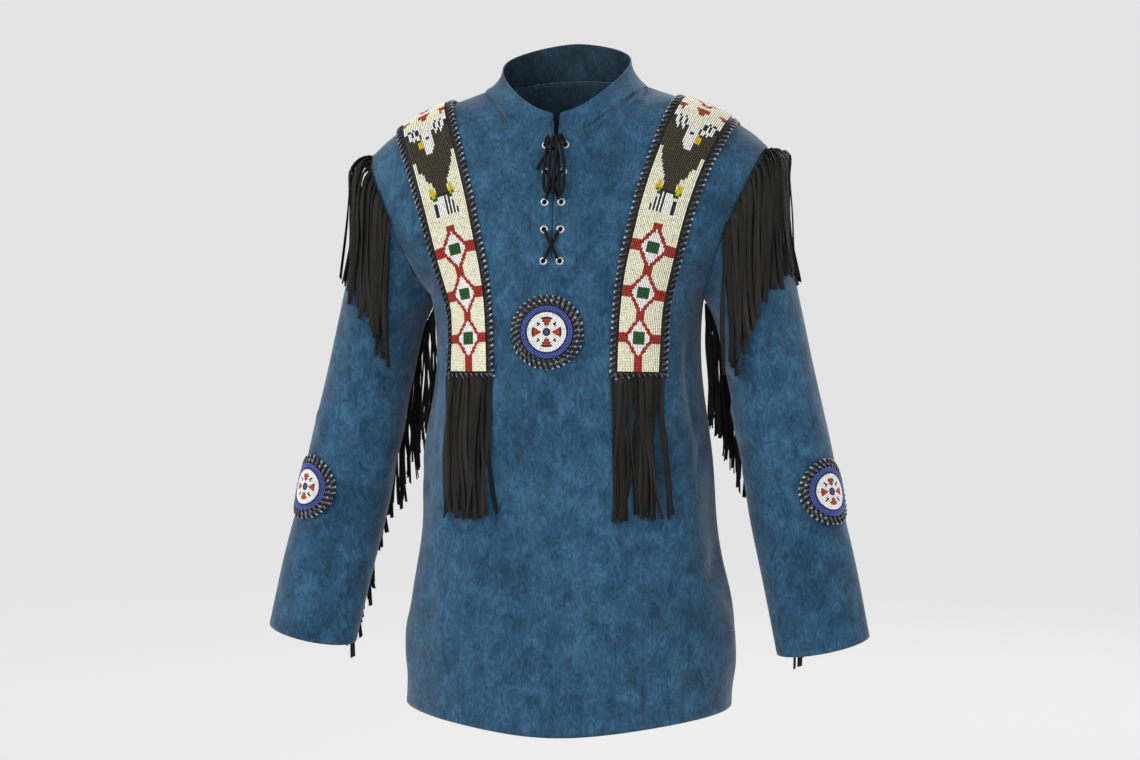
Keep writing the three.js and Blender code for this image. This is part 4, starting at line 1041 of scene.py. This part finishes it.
strip_finish = black_leather("strip_leather", STRIP_BLACK, STRIP_WORN, 0.5, Specular_IOR_Level=0.3)
waxed = Finish("thong_leather", Coat_Weight=0.5, Coat_Roughness=0.2)
# painted highlight where each wrap turns over the edge, broken up by noise
painted_glint_share = waxed.attribute("glint") * waxed.noise(330, 2).between(0.44, 0.56)
# paler noise patches over the thong: partly wear, partly painted highlight
waxed_colour = waxed.blend(waxed.noise(260, 3).between(0.5, 0.66), paint(*THONG_BLACK), paint(*THONG_WEAR_AND_HIGHLIGHT))
waxed_colour = waxed.blend(painted_glint_share, waxed_colour, paint(*THONG_GLINT))
thong_finish = waxed.dress(waxed_colour, waxed.noise(700, 2) * 0.3 + 0.2)
wrap_line = np.array(WRAP_LINE)
wrap_facing = np.gradient(wrap_line, axis=0)[:, [2, 1, 0]] * np.array([-1, 0, 1])
wrap = mesh_piece("wrap", *thong(wrap_line, wrap_facing, THONG_WIDE, THONG_THICK), [])
glints = [float(i // len(THONG_SECTION) in GLINT_STEPS) for i in range(len(wrap.data.vertices))]
hold(wrap.data, "glint", glints)


def laced_edge(name, points, out, closed):
    """Wraps of thong along an edge; the edge's free side is to the right of the path."""
    path = path_piece(points, out, run_of_edges(len(points), closed))
    return grown(name, path, along_path, {"Pitch": THONG_PITCH, "Piece": wrap, "Finish": thong_finish})


strips = {}
for side in SIDES:
    sheet = Sheet(open_rows("strip_base_" + side), STRIP_COLUMNS)
    sheet.flipped = side == "left"
    out = sheet.ways(0.0, sheet.long * IN_FRONT)[3]
    if out[1] > 0:
        sheet.flipped = not sheet.flipped
    strips[side] = sheet
    half = STRIP_COLUMNS[-1]
    u = np.linspace(-half, half, STRIP_GRID[0])[None]
    v = np.linspace(0, sheet.long, STRIP_GRID[1])[:, None]
    outer, _, _, out = sheet.ways(u, v)
    base = slab("strip_base", outer, outer - STRIP_THICK * out, [strip_finish])
    side_u = np.full(SIDE_POINTS, half - LACING_INSET)
    side_v = np.linspace(LACING_SIDES, sheet.long - LACING_SIDES, SIDE_POINTS)
    end_u = np.linspace(-half + LACING_ENDS, half - LACING_ENDS, END_POINTS)
    top_v, low_v = np.full(END_POINTS, sheet.long - LACING_INSET), np.full(END_POINTS, LACING_INSET)
    border_u = np.concatenate([side_u, end_u[::-1], -side_u, end_u])
    border_v = np.concatenate([side_v, top_v, side_v[::-1], low_v])
    points, across, _, out = sheet.ways(border_u, border_v)
    middle = SIDE_POINTS // 2
    if np.dot(np.cross(points[middle + 1] - points[middle], out[middle]), across[middle]) < 0:
        points, out = points[::-1], out[::-1]
    lacing = laced_edge("strip_lacing", points, out, True)
    piece = joined("strip_" + side, [base, lacing])
    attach(piece, "root")
    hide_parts("strip_base_" + side)

# Beadwork: glass seed beads sewn down in rows across each strip. A chart gives each bead's colour: diamonds
# with a green square, and a stepped bird above them, on cream.
BEAD_LONG = 0.0020  # along its thread
BEAD_ROW = 0.0019  # from row to row
BEAD_THICK = 0.00204
BEAD_LIFT = 0.0014  # from the leather to a bead's middle
BEAD_HALF = 0.025
BEAD_BORDER = 0.008  # of bare leather at a strip's ends
BEAD_COLOURS = {
    "cream": (252, 249, 224), "white": (255, 255, 252), "red": (172, 42, 20), "green": (26, 88, 26),
    "brown": (62, 50, 28), "black": (14, 13, 16), "yellow": (232, 206, 20), "sky": (66, 86, 168),
    "navy": (14, 16, 66), "orange": (196, 66, 26), "slate": (84, 86, 140),
}
DIAMOND = {  # places along the strip in metres, sizes in beads across and rows up
    "first": 0.040, "step": 0.0545, "count": 3, "half_wide": 7.0, "half_high": 11.4, "outline": 1.34,
    "square_wide": 3.4, "square_high": 3.6, "bar_high": 3.4, "bar_wide": 2.4, "over_last": 15.5,
}
BIRD_START = 0.190
BACK_DIAMONDS = (0.034, 0.0885, 0.143)  # from the ridge down the back
RIDGE = 0.342
STEP_ROWS = 2.2  # rows of beads to each line of the bird's chart
# Half of a spread bird between stepped bars, from the strip's middle outwards, its top line first
BIRD_CHART = [
    "RRRR.....RRR", "RRR.......RR", "RR........R.", "............", ".....W..W..W", "....WWKWWKWW", "....WKWWKWWK",
    "...WWKWWKWWK", "...BKWWKWWKB", "...BBWKBWKBB", "...BBBBBBBBB", "...BBBBBBBBB", "...BBBBBBBBB", "...BBBBBBBBB",
    "..BBBBBBBBBB", ".BBBBBBBBBBB", "BBBBBBBBBBBB", "BBBBBBBBBBB.", "BBBBBBBBBBB.", "BBBBBBBBBB..", "BBBBBBBBBB..",
    "BBBBBBBBB...", "BBBBBBBB....", "BBBBBBB.....", "BBBBBB......", "BBBBB.......", "BBBBB.......", "BBBB.YY.....",
    "BBBBYYYY....", "KKKKGYGY....", "WKWKGG......", "WKWKW.......", "WKWKWK......", "WKWKWKW.....", "WKWKWKWK....",
    "WKWKWKWK....", "............", "............",
]
# Its head, from three beads on the inner side of the middle to six on the outer side, from line 7 of the chart
HEAD_LINE = 7
HEAD_INNER = 3
HEAD_CHART = [
    "..WWW....", ".WWWWW...", ".WWWWWW..", ".WWKWWYY.", ".WWWWWYYY", ".WWWWW.YY", "..WWWWW..", "..WWWWW..",
    "...WWW...",
]
CHART_COLOURS = {"R": "red", "W": "white", "K": "black", "B": "brown", "Y": "yellow", "G": "green", ".": "cream"}


def bead_tree():
    """Sets a bead on each point, its thread along one way and its side towards another."""
    graph = geometry_tree("beads_on_points", {"Long": "Float", "Thick": "Float", "Finish": "Material"})
    long, thick = graph.given["Long"], graph.given["Thick"]
    ball = graph.value("GeometryNodeMeshUVSphere", sockets={"Segments": 5, "Rings": 3, "Radius": 1.0})
    spot = graph.node("ShaderNodeSeparateXYZ", sockets={0: graph.value("GeometryNodeInputPosition")})
    x, y, z = (Value(graph, spot.outputs[i]) for i in range(3))
    wide = thick * 0.577  # the ball's rings are 0.87 as wide as its middle would be
    sockets = {"X": x * wide, "Y": y * wide, "Z": z * (0.793 - z * z * 0.293) * long}
    barrel = {"Geometry": ball, "Position": graph.value("ShaderNodeCombineXYZ", sockets=sockets)}
    bead = graph.value("GeometryNodeSetPosition", sockets=barrel)
    bead = graph.value("GeometryNodeSetShadeSmooth", sockets={"Geometry": bead})
    ways = {"Primary Axis": vector_attribute(graph, "thread"), "Secondary Axis": vector_attribute(graph, "out")}
    turned = graph.value("FunctionNodeAxesToRotation", {"primary_axis": "Z", "secondary_axis": "X"}, ways)
    sockets = {
        "Points": graph.given["Geometry"],
        "Instance": bead,
        "Rotation": turned,
        "Scale": vector_attribute(graph, "swell"),
    }
    return end_tree(graph, graph.value("GeometryNodeInstanceOnPoints", sockets=sockets))


beads_on_points = bead_tree()
glass = Finish("seed_beads", Roughness=0.28, Coat_Weight=0.35, Coat_Roughness=0.1)
bead_finish = glass.dress(glass.attribute("colour", 0), glass.noise(300, 2) * 0.2 + 0.2)


def bead_piece(name, points, out, thread, colours, seed):
    """Beads at points, each with its way out, its thread's way and its colour's name."""
    vary = np.random.default_rng(seed)
    count = len(points)
    mesh = bpy.data.meshes.new("bead_points")
    mesh.from_pydata([tuple(p) for p in points + vary.normal(0, 0.00006, (count, 3))], [], [])
    shades = np.array([paint(*BEAD_COLOURS[c]) for c in colours])
    shades[:, :3] *= vary.uniform(0.86, 1.08, (count, 1))
    swell = np.repeat(vary.uniform(0.93, 1.05, (count, 1)), 3, axis=1)
    hold(mesh, "out", out, "FLOAT_VECTOR")
    hold(mesh, "thread", thread + vary.normal(0, 0.04, (count, 3)), "FLOAT_VECTOR")
    hold(mesh, "swell", swell, "FLOAT_VECTOR")
    hold(mesh, "colour", np.clip(shades, 0, 1), "FLOAT_COLOR")
    sizes = {"Long": BEAD_LONG, "Thick": BEAD_THICK, "Finish": bead_finish}
    return grown(name, in_scene("bead_points", mesh), beads_on_points, sizes)


def diamond_colour(across, up):
    """A diamond by beads across and rows up from its middle: white with a green square, outlined in red, with a
    red bar at each of its corners."""
    a, b = abs(across), abs(up)
    edge = a / DIAMOND["half_wide"] + b / DIAMOND["half_high"]
    if a <= DIAMOND["square_wide"] and b <= DIAMOND["square_high"]:
        return "green"
    if edge <= 1.0:
        return "white"
    if edge <= DIAMOND["outline"] or b <= DIAMOND["bar_high"] or a <= DIAMOND["bar_wide"]:
        return "red"
    return None


def bird_colour(across, row):
    """The spread bird by beads from the strip's middle, positive outwards, and rows from the top."""
    line = int(row / STEP_ROWS)
    if line >= len(BIRD_CHART):
        return "cream"
    head_line, head_bead = line - HEAD_LINE, math.floor(across) + HEAD_INNER
    if 0 <= head_line < len(HEAD_CHART) and 0 <= head_bead < len(HEAD_CHART[0]):
        mark = HEAD_CHART[head_line][head_bead]
        if mark != ".":
            return CHART_COLOURS[mark]
    return CHART_COLOURS[BIRD_CHART[line][min(int(abs(across)), len(BIRD_CHART[0]) - 1)]]


def strip_colour(across, along):
    """The chart: beads from the strip's middle, positive outwards, and metres from the beadwork's lower end."""
    half_step = DIAMOND["step"] / BEAD_ROW / 2
    for k in range(DIAMOND["count"]):
        up = (along - DIAMOND["first"] - k * DIAMOND["step"]) / BEAD_ROW
        low = -math.inf if k == 0 else -half_step
        high = DIAMOND["over_last"] if k == DIAMOND["count"] - 1 else half_step
        if low <= up < high:
            colour = diamond_colour(across, up)
            if colour:
                return colour
    if along > BIRD_START:
        if along < RIDGE:
            return bird_colour(across, (RIDGE - along) / BEAD_ROW)
        for place in BACK_DIAMONDS:
            up = (along - RIDGE - place) / BEAD_ROW
            if abs(up) <= half_step:
                return diamond_colour(across, up) or "cream"
    return "cream"


for side, sheet in strips.items():
    columns = int(2 * BEAD_HALF / BEAD_LONG)
    rows = int((sheet.long - 2 * BEAD_BORDER) / BEAD_ROW)
    step = 2 * BEAD_HALF / columns
    across_row, along_strip = (np.arange(columns) + 0.5) * step, (np.arange(rows) + 0.5) * BEAD_ROW
    u, v = (grid.ravel() for grid in np.meshgrid(across_row - BEAD_HALF, along_strip + BEAD_BORDER))
    points, across, _, out = sheet.ways(u, v)
    colours = [strip_colour(a / step, b - BEAD_BORDER) for a, b in zip(u, v)]
    piece = bead_piece("strip_beads_" + side, points + BEAD_LIFT * out, out, across, colours, 5)
    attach(piece, "root")
    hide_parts("strip_beadwork_" + side)

# Rosettes: round pieces of black leather, laced like the strips and beaded in rings from the middle outwards.
ROSETTES = {  # node of the base, node of the beadwork, radius, radius of the beadwork
    "chest": ("chest_rosette_base", "chest_rosette_beadwork", 0.044, 0.031),
    "left": ("sleeve_rosette_base_left", "sleeve_rosette_beadwork_left", 0.0395, 0.0285),
    "right": ("sleeve_rosette_base_right", "sleeve_rosette_beadwork_right", 0.0395, 0.0285),
}
WEDGE_INNER, WEDGE_OUTER = math.radians(10), math.radians(24)
BRAID_ROWS = (0.0008, 0.0062)  # each row of lacing lies this far inside a rosette's edge
WEDGES = 4
BASE_RINGS, BASE_TURNS, LACED_TURNS = 13, 64, 120


class Patch:
    """The smooth surface through a round base's outer face, by place on a plane square to its middle."""

    def __init__(self, node):
        wall = merged_quads(node)
        sheet = forward_sheet(wall)
        points = np.array([v.co[:] for v in {v for f in sheet for v in f.verts}])
        wall.free()
        self.centre = points.mean(0)
        ways = np.linalg.svd(points - self.centre)[2]
        self.out = ways[2] * (-1 if ways[2][1] > 0 else 1)
        self.up = np.array([0, 0, 1]) - self.out[2] * self.out
        self.up /= np.linalg.norm(self.up)
        self.across = np.cross(self.up, self.out)
        away = points - self.centre
        terms = self.terms(away @ self.across, away @ self.up)
        self.form = np.linalg.lstsq(terms, away @ self.out, rcond=None)[0]

    def terms(self, x, y):
        return np.stack([np.ones_like(x), x, y, x * x, x * y, y * y], -1)

    def at(self, x, y):
        high = self.terms(x, y) @ self.form
        return self.centre + x[..., None] * self.across + y[..., None] * self.up + high[..., None] * self.out

    def out_at(self, x, y, step=0.001):
        a = self.at(x + step, y) - self.at(x - step, y)
        b = self.at(x, y + step) - self.at(x, y - step)
        out = np.cross(a, b)
        out /= np.linalg.norm(out, axis=-1, keepdims=True)
        return out * np.sign((out @ self.out)[..., None])


def rosette_colour(radius, angle, beaded):
    """Rings from the edge inwards, then four wedges with a small mark between each two, and a round middle."""
    share = radius / beaded
    if share > 0.85:
        return "sky"
    if share > 0.77:
        return "navy"
    if share < 0.12:
        return "slate"
    if share < 0.18:
        return "navy"
    turn = abs((angle + math.pi / WEDGES) % (2 * math.pi / WEDGES) - math.pi / WEDGES)
    half = WEDGE_INNER + (WEDGE_OUTER - WEDGE_INNER) * (share - 0.2) / 0.4
    if 0.2 < share < 0.6 and turn < half:
        return "black" if share > 0.54 or turn * share > half * share - 0.035 else "orange"
    aside = abs(turn - math.pi / WEDGES) * share
    if abs(share - 0.44) * 0.6 + aside < 0.06:
        return "navy" if math.sin(angle) > 0 else "green"
    return "white"


def ring_at(layer, ring):
    """The numbers of the points of one ring of a rosette's face (layer 0) or underside (layer 1)."""
    return layer * (BASE_TURNS * BASE_RINGS + 1) + 1 + ring * BASE_TURNS + np.arange(BASE_TURNS)


def band(one, other):
    """Faces between two rings of points."""
    return [list(q) for q in zip(one, other, np.roll(other, -1), np.roll(one, -1))]


for name, (base_node, bead_node, radius, beaded) in ROSETTES.items():
    patch = Patch(base_node)
    rings = np.linspace(0.0, radius, BASE_RINGS + 1)[1:]
    turns = np.linspace(0, 2 * math.pi, BASE_TURNS, endpoint=False)
    x, y = rings[:, None] * np.cos(turns), rings[:, None] * np.sin(turns)
    face = patch.at(x, y)
    under = face - STRIP_THICK * patch.out_at(x, y)
    middle = patch.at(np.zeros(1), np.zeros(1))
    middle_under = middle - STRIP_THICK * patch.out
    points = np.concatenate([middle, face.reshape(-1, 3), middle_under, under.reshape(-1, 3)])
    faces = []
    for layer in (0, 1):
        first = ring_at(layer, 0)
        discs = [[first[0] - 1, a, b] for a, b in zip(first, np.roll(first, -1))]
        for ring in range(BASE_RINGS - 1):
            discs += band(ring_at(layer, ring), ring_at(layer, ring + 1))
        faces += [q[::-1] for q in discs] if layer else discs
    faces += band(ring_at(0, BASE_RINGS - 1), ring_at(1, BASE_RINGS - 1))
    base = mesh_piece("rosette_base", points, [[int(i) for i in f] for f in faces], [strip_finish])
    edge_turns = np.linspace(0, 2 * math.pi, LACED_TURNS, endpoint=False)[::-1]
    laced = [base]
    for inside in BRAID_ROWS:
        x, y = (radius - inside) * np.cos(edge_turns), (radius - inside) * np.sin(edge_turns)
        edge, out = patch.at(x, y), patch.out_at(x, y)
        if np.dot(np.cross(edge[1] - edge[0], out[0]), edge[0] - patch.centre) < 0:
            edge, out = edge[::-1], out[::-1]
        laced.append(laced_edge("rosette_lacing", edge, out, True))
    piece = joined("rosette_" + name, laced)
    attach(piece, "root")
    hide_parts(base_node)

    points, outs, threads, colours = [], [], [], []
    ring_count = int(beaded / BEAD_ROW)
    for ring in range(ring_count + 1):
        reach = ring * BEAD_ROW
        count = max(1, round(2 * math.pi * reach / BEAD_LONG))
        turns = 2 * math.pi * (np.arange(count) + 0.5 * (ring % 2)) / count
        x, y = reach * np.cos(turns), reach * np.sin(turns)
        out = patch.out_at(x, y)
        points.append(patch.at(x, y) + BEAD_LIFT * out)
        outs.append(out)
        threads.append(-np.sin(turns)[:, None] * patch.across + np.cos(turns)[:, None] * patch.up)
        colours += [rosette_colour(reach, t, ring_count * BEAD_ROW) for t in turns]
    stacked = [np.concatenate(rows) for rows in (points, outs, threads)]
    piece = bead_piece("rosette_beads_" + name, *stacked, colours, 7)
    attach(piece, "root")
    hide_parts(bead_node)

# Fringe: flat thongs cut from soft black leather, which hang three deep from where they are caught in a seam.
# They hang by their own weight and lie on the suede below.
FRINGE_BLACK = (5, 6, 7)
# the pale colour of the fringe: partly wear and cut edges, partly painted highlight along the thongs' edges
FRINGE_WEAR_AND_HIGHLIGHT = (54, 52, 50)
FRINGE_STEPS = 22
FRINGE_THICK = 0.0012
ROOT_WIDER, ROOT_SHARE = 0.5, 0.2  # cut from one band, they are wider over their first fifth
CLOTH_REACH = 0.03  # cloth further away than this doesn't hold a thong off
LAYERS = 3
sleeve_cloth = {side: outer_tree([panels["sleeve_" + side]]) for side in SIDES}


def hang(root, length, cloths, clear, sway, vary):
    """The line of a thong that hangs from root over cloths, at least `clear` off them, and how it faces."""
    step = length / FRINGE_STEPS
    line = [Vector(root)]
    facing = []
    drift = vary.normal(0, 1, 2)
    wave, start = vary.uniform(1.2, 2.6), vary.uniform(0, 2 * math.pi)
    for i in range(FRINGE_STEPS):
        share = (i + 1) / FRINGE_STEPS
        swing = sway * (0.5 * math.cos(start + wave * math.pi * share) + 0.6 * share * drift[0])
        deep = sway * 0.5 * share * drift[1]
        place = line[-1] + Vector((swing * step, deep * step, -step))
        for _ in range(2):
            for cloth in cloths:
                spot, normal, _, gap = cloth.find_nearest(place)
                off = (place - spot).dot(normal)
                if gap < CLOTH_REACH and off < clear:
                    place += normal * (clear - off)
        line.append(line[-1] + (place - line[-1]).normalized() * step)
        facing.append(cloths[0].find_nearest(line[-1])[1])
    return line, [facing[0]] + facing


def thong_bundle(name, hung, wide, material, vary):
    """One mesh of many thongs, each with its own tone, a slight twist, a slanting cut end and pale edges, partly
    the cut edge's own colour and partly painted highlight.
    """
    points, faces, edges, tones = [], [], [], []
    for line, facing in hung:
        count = len(line)
        line = np.array([p[:] for p in line])
        smooth = line.copy()
        smooth[1:-1] = (line[:-2] + 2 * line[1:-1] + line[2:]) / 4
        out = np.array([n[:] for n in facing])
        ahead = np.gradient(smooth, axis=0)
        ahead /= np.linalg.norm(ahead, axis=1)[:, None]
        twist = np.linspace(0, 1, count) * vary.normal(0, 0.45) + vary.normal(0, 0.22)
        twist = twist + 0.25 * np.sin(np.linspace(0, vary.uniform(3, 8), count) + vary.uniform(0, 6))
        side = np.cross(ahead, out)
        out = out * np.cos(twist)[:, None] + side * np.sin(twist)[:, None]
        share = np.linspace(0, 1, count)
        width = wide * vary.uniform(0.86, 1.14) * (1 + 0.05 * np.sin(9 * share + vary.uniform(0, 6)))
        width *= 1 + ROOT_WIDER * np.clip(1 - share / ROOT_SHARE, 0, 1)
        ring_points, ring_faces = thong(smooth, out, width, FRINGE_THICK)
        slant = vary.normal(0, 0.35) * wide
        ring_points[-len(THONG_SECTION) :, 2] += slant * THONG_SECTION[:, 0]
        faces += [[i + len(points) for i in face] for face in ring_faces]
        points += ring_points.tolist()
        # paleness at each point of the section: the side edges are paler, partly cut edge and partly painted
        # highlight
        edges += list(THONG_CUT_EDGE_AND_HIGHLIGHT) * count
        tones += [vary.uniform(0, 1)] * (len(THONG_SECTION) * count)
    piece = mesh_piece(name, points, faces, [material], turn_out=False)
    body = bmesh.new()
    body.from_mesh(piece.data)
    bmesh.ops.recalc_face_normals(body, faces=body.faces[:])
    body.to_mesh(piece.data)
    body.free()
    hold(piece.data, "edge", edges)
    hold(piece.data, "tone", tones)
    return piece


fringe = Finish("fringe_leather", Specular_IOR_Level=0.16)
fringe_patches = fringe.noise(45, 3, stretch=(1, 1, 0.3)).between(0.4, 0.7)
fringe_grain = fringe.noise(1100, 3)
# pale edges are partly the cut edge's own colour and partly painted highlight; tone and patches vary at random
fringe_wear_and_highlight_share = fringe.attribute("edge") * 0.4 + fringe.attribute("tone") * 0.4 + fringe_patches * 0.2
fringe_colour = fringe.blend(fringe_wear_and_highlight_share, paint(*FRINGE_BLACK), paint(*FRINGE_WEAR_AND_HIGHLIGHT))
fringe_finish = fringe.dress(fringe_colour, fringe_grain * 0.15 + 0.55, fringe_grain, 0.3, 0.0003)

# Strip fringe: it hangs from the lower end of each strip over the front
STRIP_FRINGE = {"strands": 20, "long": 0.174, "wide": 0.0064, "half": 0.0305, "inside": 0.002, "sunk": 0.0012,
                "lift": 0.0004, "layer": 0.0011, "clear": 0.0014, "layer_clear": 0.0013, "sway": 0.17}
for side, sheet in strips.items():
    vary = np.random.default_rng(11 if side == "left" else 12)
    hung = []
    for i in range(STRIP_FRINGE["strands"]):
        share = (i + 0.5) / STRIP_FRINGE["strands"] * 2 - 1
        layer = i % LAYERS
        root, _, along, out = sheet.ways(share * STRIP_FRINGE["half"], 0.0)
        lift = STRIP_FRINGE["lift"] + STRIP_FRINGE["layer"] * layer
        start = Vector(root + along * STRIP_FRINGE["inside"] + out * (lift - STRIP_FRINGE["sunk"]))
        length = STRIP_FRINGE["long"] * vary.uniform(0.94, 1.0)
        clear = STRIP_FRINGE["clear"] + STRIP_FRINGE["layer_clear"] * layer
        hung.append(hang(start, length, [body_cloth], clear, STRIP_FRINGE["sway"], vary))
    piece = thong_bundle("fringe_strip_" + side, hung, STRIP_FRINGE["wide"], fringe_finish, vary)
    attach(piece, "root")
    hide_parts("strip_fringe_" + side)

# Armhole fringe: from the seam where the sleeve joins, over the front, top and back of the shoulder
ARMHOLE_FRINGE = {"strands": 78, "long": 0.178, "wide": 0.0066, "back": 98, "front": {"left": 98, "right": 87},
                  "tip": 26, "over_tip": 22, "from_seam": 0.003, "lift": 0.0012, "layer": 0.0012,
                  "clear": 0.0014, "layer_clear": 0.0016, "sway": 0.10}


def on_sleeve(side, angle, run):
    """A place on a sleeve's face and its normal, by angle round it in radians and distance from the armhole."""
    tube = sleeve_tubes[side]
    row = np.array([
        [np.interp(run, tube.run, tube.rows[:, k, i]) for i in range(3)] for k in range(tube.rows.shape[1])
    ])
    count = len(row)
    turn = (angle / (2 * math.pi) * count) % count
    low = int(turn)
    place = row[low] + (turn - low) * (row[(low + 1) % count] - row[low])
    spot, normal, _, _ = sleeve_cloth[side].find_nearest(Vector(place))
    return spot, normal


for side in SIDES:
    vary = np.random.default_rng(21 if side == "left" else 22)
    back, front = math.radians(ARMHOLE_FRINGE["back"]), math.radians(ARMHOLE_FRINGE["front"][side])
    tip = math.radians(ARMHOLE_FRINGE["tip"])
    cloths = [sleeve_cloth[side], body_cloth]
    hung = []
    angles = [*np.linspace(-back, front, ARMHOLE_FRINGE["strands"])]
    angles += [*np.linspace(-tip, tip, ARMHOLE_FRINGE["over_tip"])]
    for i, angle in enumerate(angles):
        layer = i % LAYERS
        spot, normal = on_sleeve(side, angle, ARMHOLE_FRINGE["from_seam"])
        start = spot + normal * (ARMHOLE_FRINGE["lift"] + ARMHOLE_FRINGE["layer"] * layer)
        length = ARMHOLE_FRINGE["long"] * vary.uniform(0.93, 1.02)
        clear = ARMHOLE_FRINGE["clear"] + ARMHOLE_FRINGE["layer_clear"] * layer
        hung.append(hang(start, length, cloths, clear, ARMHOLE_FRINGE["sway"], vary))
    piece = thong_bundle("fringe_armhole_" + side, hung, ARMHOLE_FRINGE["wide"], fringe_finish, vary)
    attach(piece, "root")
    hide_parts("armhole_fringe_" + side)

# Sleeve fringe: from the sleeve's seam, which runs from under the arm to the back of the cuff
SLEEVE_FRINGE = {"strands": 84, "long": 0.142, "wide": 0.0058, "from": 0.035, "to": 0.80, "lift": 0.0016,
                 "clear": 0.0018, "layer_clear": 0.0014, "sway": 0.12}
SLEEVE_SEAM = {"under_arm": 188, "turns_by": 74, "turned_at": 0.64}  # angles, and the share of the sleeve
for side in SIDES:
    vary = np.random.default_rng(31 if side == "left" else 32)
    tube = sleeve_tubes[side]
    hung = []
    for i in range(SLEEVE_FRINGE["strands"]):
        share = i / (SLEEVE_FRINGE["strands"] - 1)
        at = SLEEVE_FRINGE["from"] + share * (SLEEVE_FRINGE["to"] - SLEEVE_FRINGE["from"])
        turn = soft_step(min(at / SLEEVE_SEAM["turned_at"], 1))
        angle = math.radians(SLEEVE_SEAM["under_arm"] + SLEEVE_SEAM["turns_by"] * turn)
        spot, normal = on_sleeve(side, angle, at * tube.run[-1])
        start = spot + normal * SLEEVE_FRINGE["lift"]
        length = SLEEVE_FRINGE["long"] * vary.uniform(0.9, 1.04)
        clear = SLEEVE_FRINGE["clear"] + SLEEVE_FRINGE["layer_clear"] * (i % LAYERS)
        hung.append(hang(start, length, [sleeve_cloth[side], body_cloth], clear, SLEEVE_FRINGE["sway"], vary))
    piece = thong_bundle("fringe_sleeve_" + side, hung, SLEEVE_FRINGE["wide"], fringe_finish, vary)
    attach(piece, "root")
    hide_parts("sleeve_fringe_" + side)

# Eyelets: nickel-plated steel rings, turned over at the edge and pressed into the placket in five pairs. A dark
# disc inside each ring is painted shade, standing for the dark seen through the hole.
EYELET_PROFILE = [(0.0026, -0.0006), (0.0027, 0.0006), (0.0033, 0.0012), (0.0042, 0.0011), (0.0050, 0.0005),
                  (0.0054, -0.0003)]
EYELET_SIDES = 28
HOLE_RADIUS, HOLE_LIFT = 0.003, 0.0002
# painted shade: near-black colours of the disc seen inside each eyelet
hole_shade_finish = suede("eyelet_hole", (6, 9, 12), (9, 13, 17), (13, 19, 24), inside=True)
nickel = Finish("eyelet_steel", Metallic=1.0, Base_Color=paint(186, 186, 190))
nickel_rough = nickel.noise(500, 3) * 0.25 + 0.18
nickel_finish = nickel.dress(roughness=nickel_rough, height=nickel.noise(900, 2), bump=0.05)
eyelet_nodes = sorted(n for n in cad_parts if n.startswith("eyelet"))
rings = []
for node in eyelet_nodes:
    low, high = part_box(node)
    centre = (low + high) / 2
    spot, normal, _, _ = body_cloth.find_nearest(centre)
    sideways = Vector((0, 0, 1)).cross(normal).normalized()
    upward = normal.cross(sideways)
    turns = np.linspace(0, 2 * math.pi, EYELET_SIDES, endpoint=False)
    round_it = [math.cos(t) * sideways + math.sin(t) * upward for t in turns]
    points = [spot + radius * way + lift * normal for radius, lift in EYELET_PROFILE for way in round_it]
    count = len(EYELET_PROFILE)
    faces = []
    for i in range(count):
        for k in range(EYELET_SIDES):
            following = (k + 1) % EYELET_SIDES
            a, b = i * EYELET_SIDES, (i + 1) % count * EYELET_SIDES
            faces.append([a + k, a + following, b + following, b + k])
    rings.append(mesh_piece("ring", points, faces, [nickel_finish]))
    # painted shade: a dark disc just over the cloth inside the ring
    hole = [spot + HOLE_RADIUS * way + HOLE_LIFT * normal for way in round_it]
    rings.append(mesh_piece("hole", hole, [list(range(EYELET_SIDES))], [hole_shade_finish], turn_out=False))
piece = joined("eyelets", rings)
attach(piece, "root")
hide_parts(*eyelet_nodes)

# Lace crosses: the same lace shows where it crosses the slit between eyelets, drawn tight to the suede.
CROSS_PLUMPER = 0.0003
for node in ("lace_cross_low_under", "lace_cross_low_over", "lace_cross_high_under", "lace_cross_high_over"):
    piece = finer_copy(node, node.replace("lace_", "laced_"), [lace_finish], 2)
    mesh = piece.data
    move_points(mesh, coordinates(mesh) + CROSS_PLUMPER * normals(mesh))
    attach(piece, "root")
    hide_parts(node)

# Studio: a wide plain pale floor well below the shirt, broad soft lights, and a pale surround.
FLOOR = -1.15
FLOOR_REACH, FLOOR_SIDES = 30.0, 96
STUDIO_GREY = (149, 149, 149)
SURROUND = 0.775
edge_turns = np.linspace(0, 2 * math.pi, FLOOR_SIDES, endpoint=False)
floor_points = [(FLOOR_REACH * math.cos(t), FLOOR_REACH * math.sin(t), FLOOR) for t in edge_turns]
studio = Finish("studio_grey", Base_Color=paint(*STUDIO_GREY), Roughness=0.9, Specular_IOR_Level=0.0,
                Emission_Color=(1, 1, 1, 1), Emission_Strength=0.54)
floor_face = list(range(FLOOR_SIDES))
floor = mesh_piece("studio_floor", floor_points, [floor_face], [studio.material], turn_out=False)

LIGHTS = [  # name, place, size, power
    ("key", (-1.9, -2.6, 1.5), 1.5, 48),
    ("fill", (2.4, -2.3, 0.4), 2.4, 14),
    ("back", (1.2, 2.6, 1.4), 2.0, 26),
]
for name, place, size, power in LIGHTS:
    light = bpy.data.lights.new(name, "AREA")
    light.shape = "SQUARE"
    light.size = size
    light.energy = power
    lamp = in_scene(name, light)
    lamp.location = place
    lamp.rotation_euler = (Vector(place) - VIEW_CENTRE).to_track_quat("Z", "Y").to_euler()
world = bpy.data.worlds.new("studio")
world.use_nodes = True
world.node_tree.nodes["Background"].inputs["Color"].default_value = (1, 1, 1, 1)
world.node_tree.nodes["Background"].inputs["Strength"].default_value = SURROUND
bpy.context.scene.world = world
bpy.context.scene.view_settings.view_transform = "Standard"

for model in (wrap, stitch):
    discard(model)
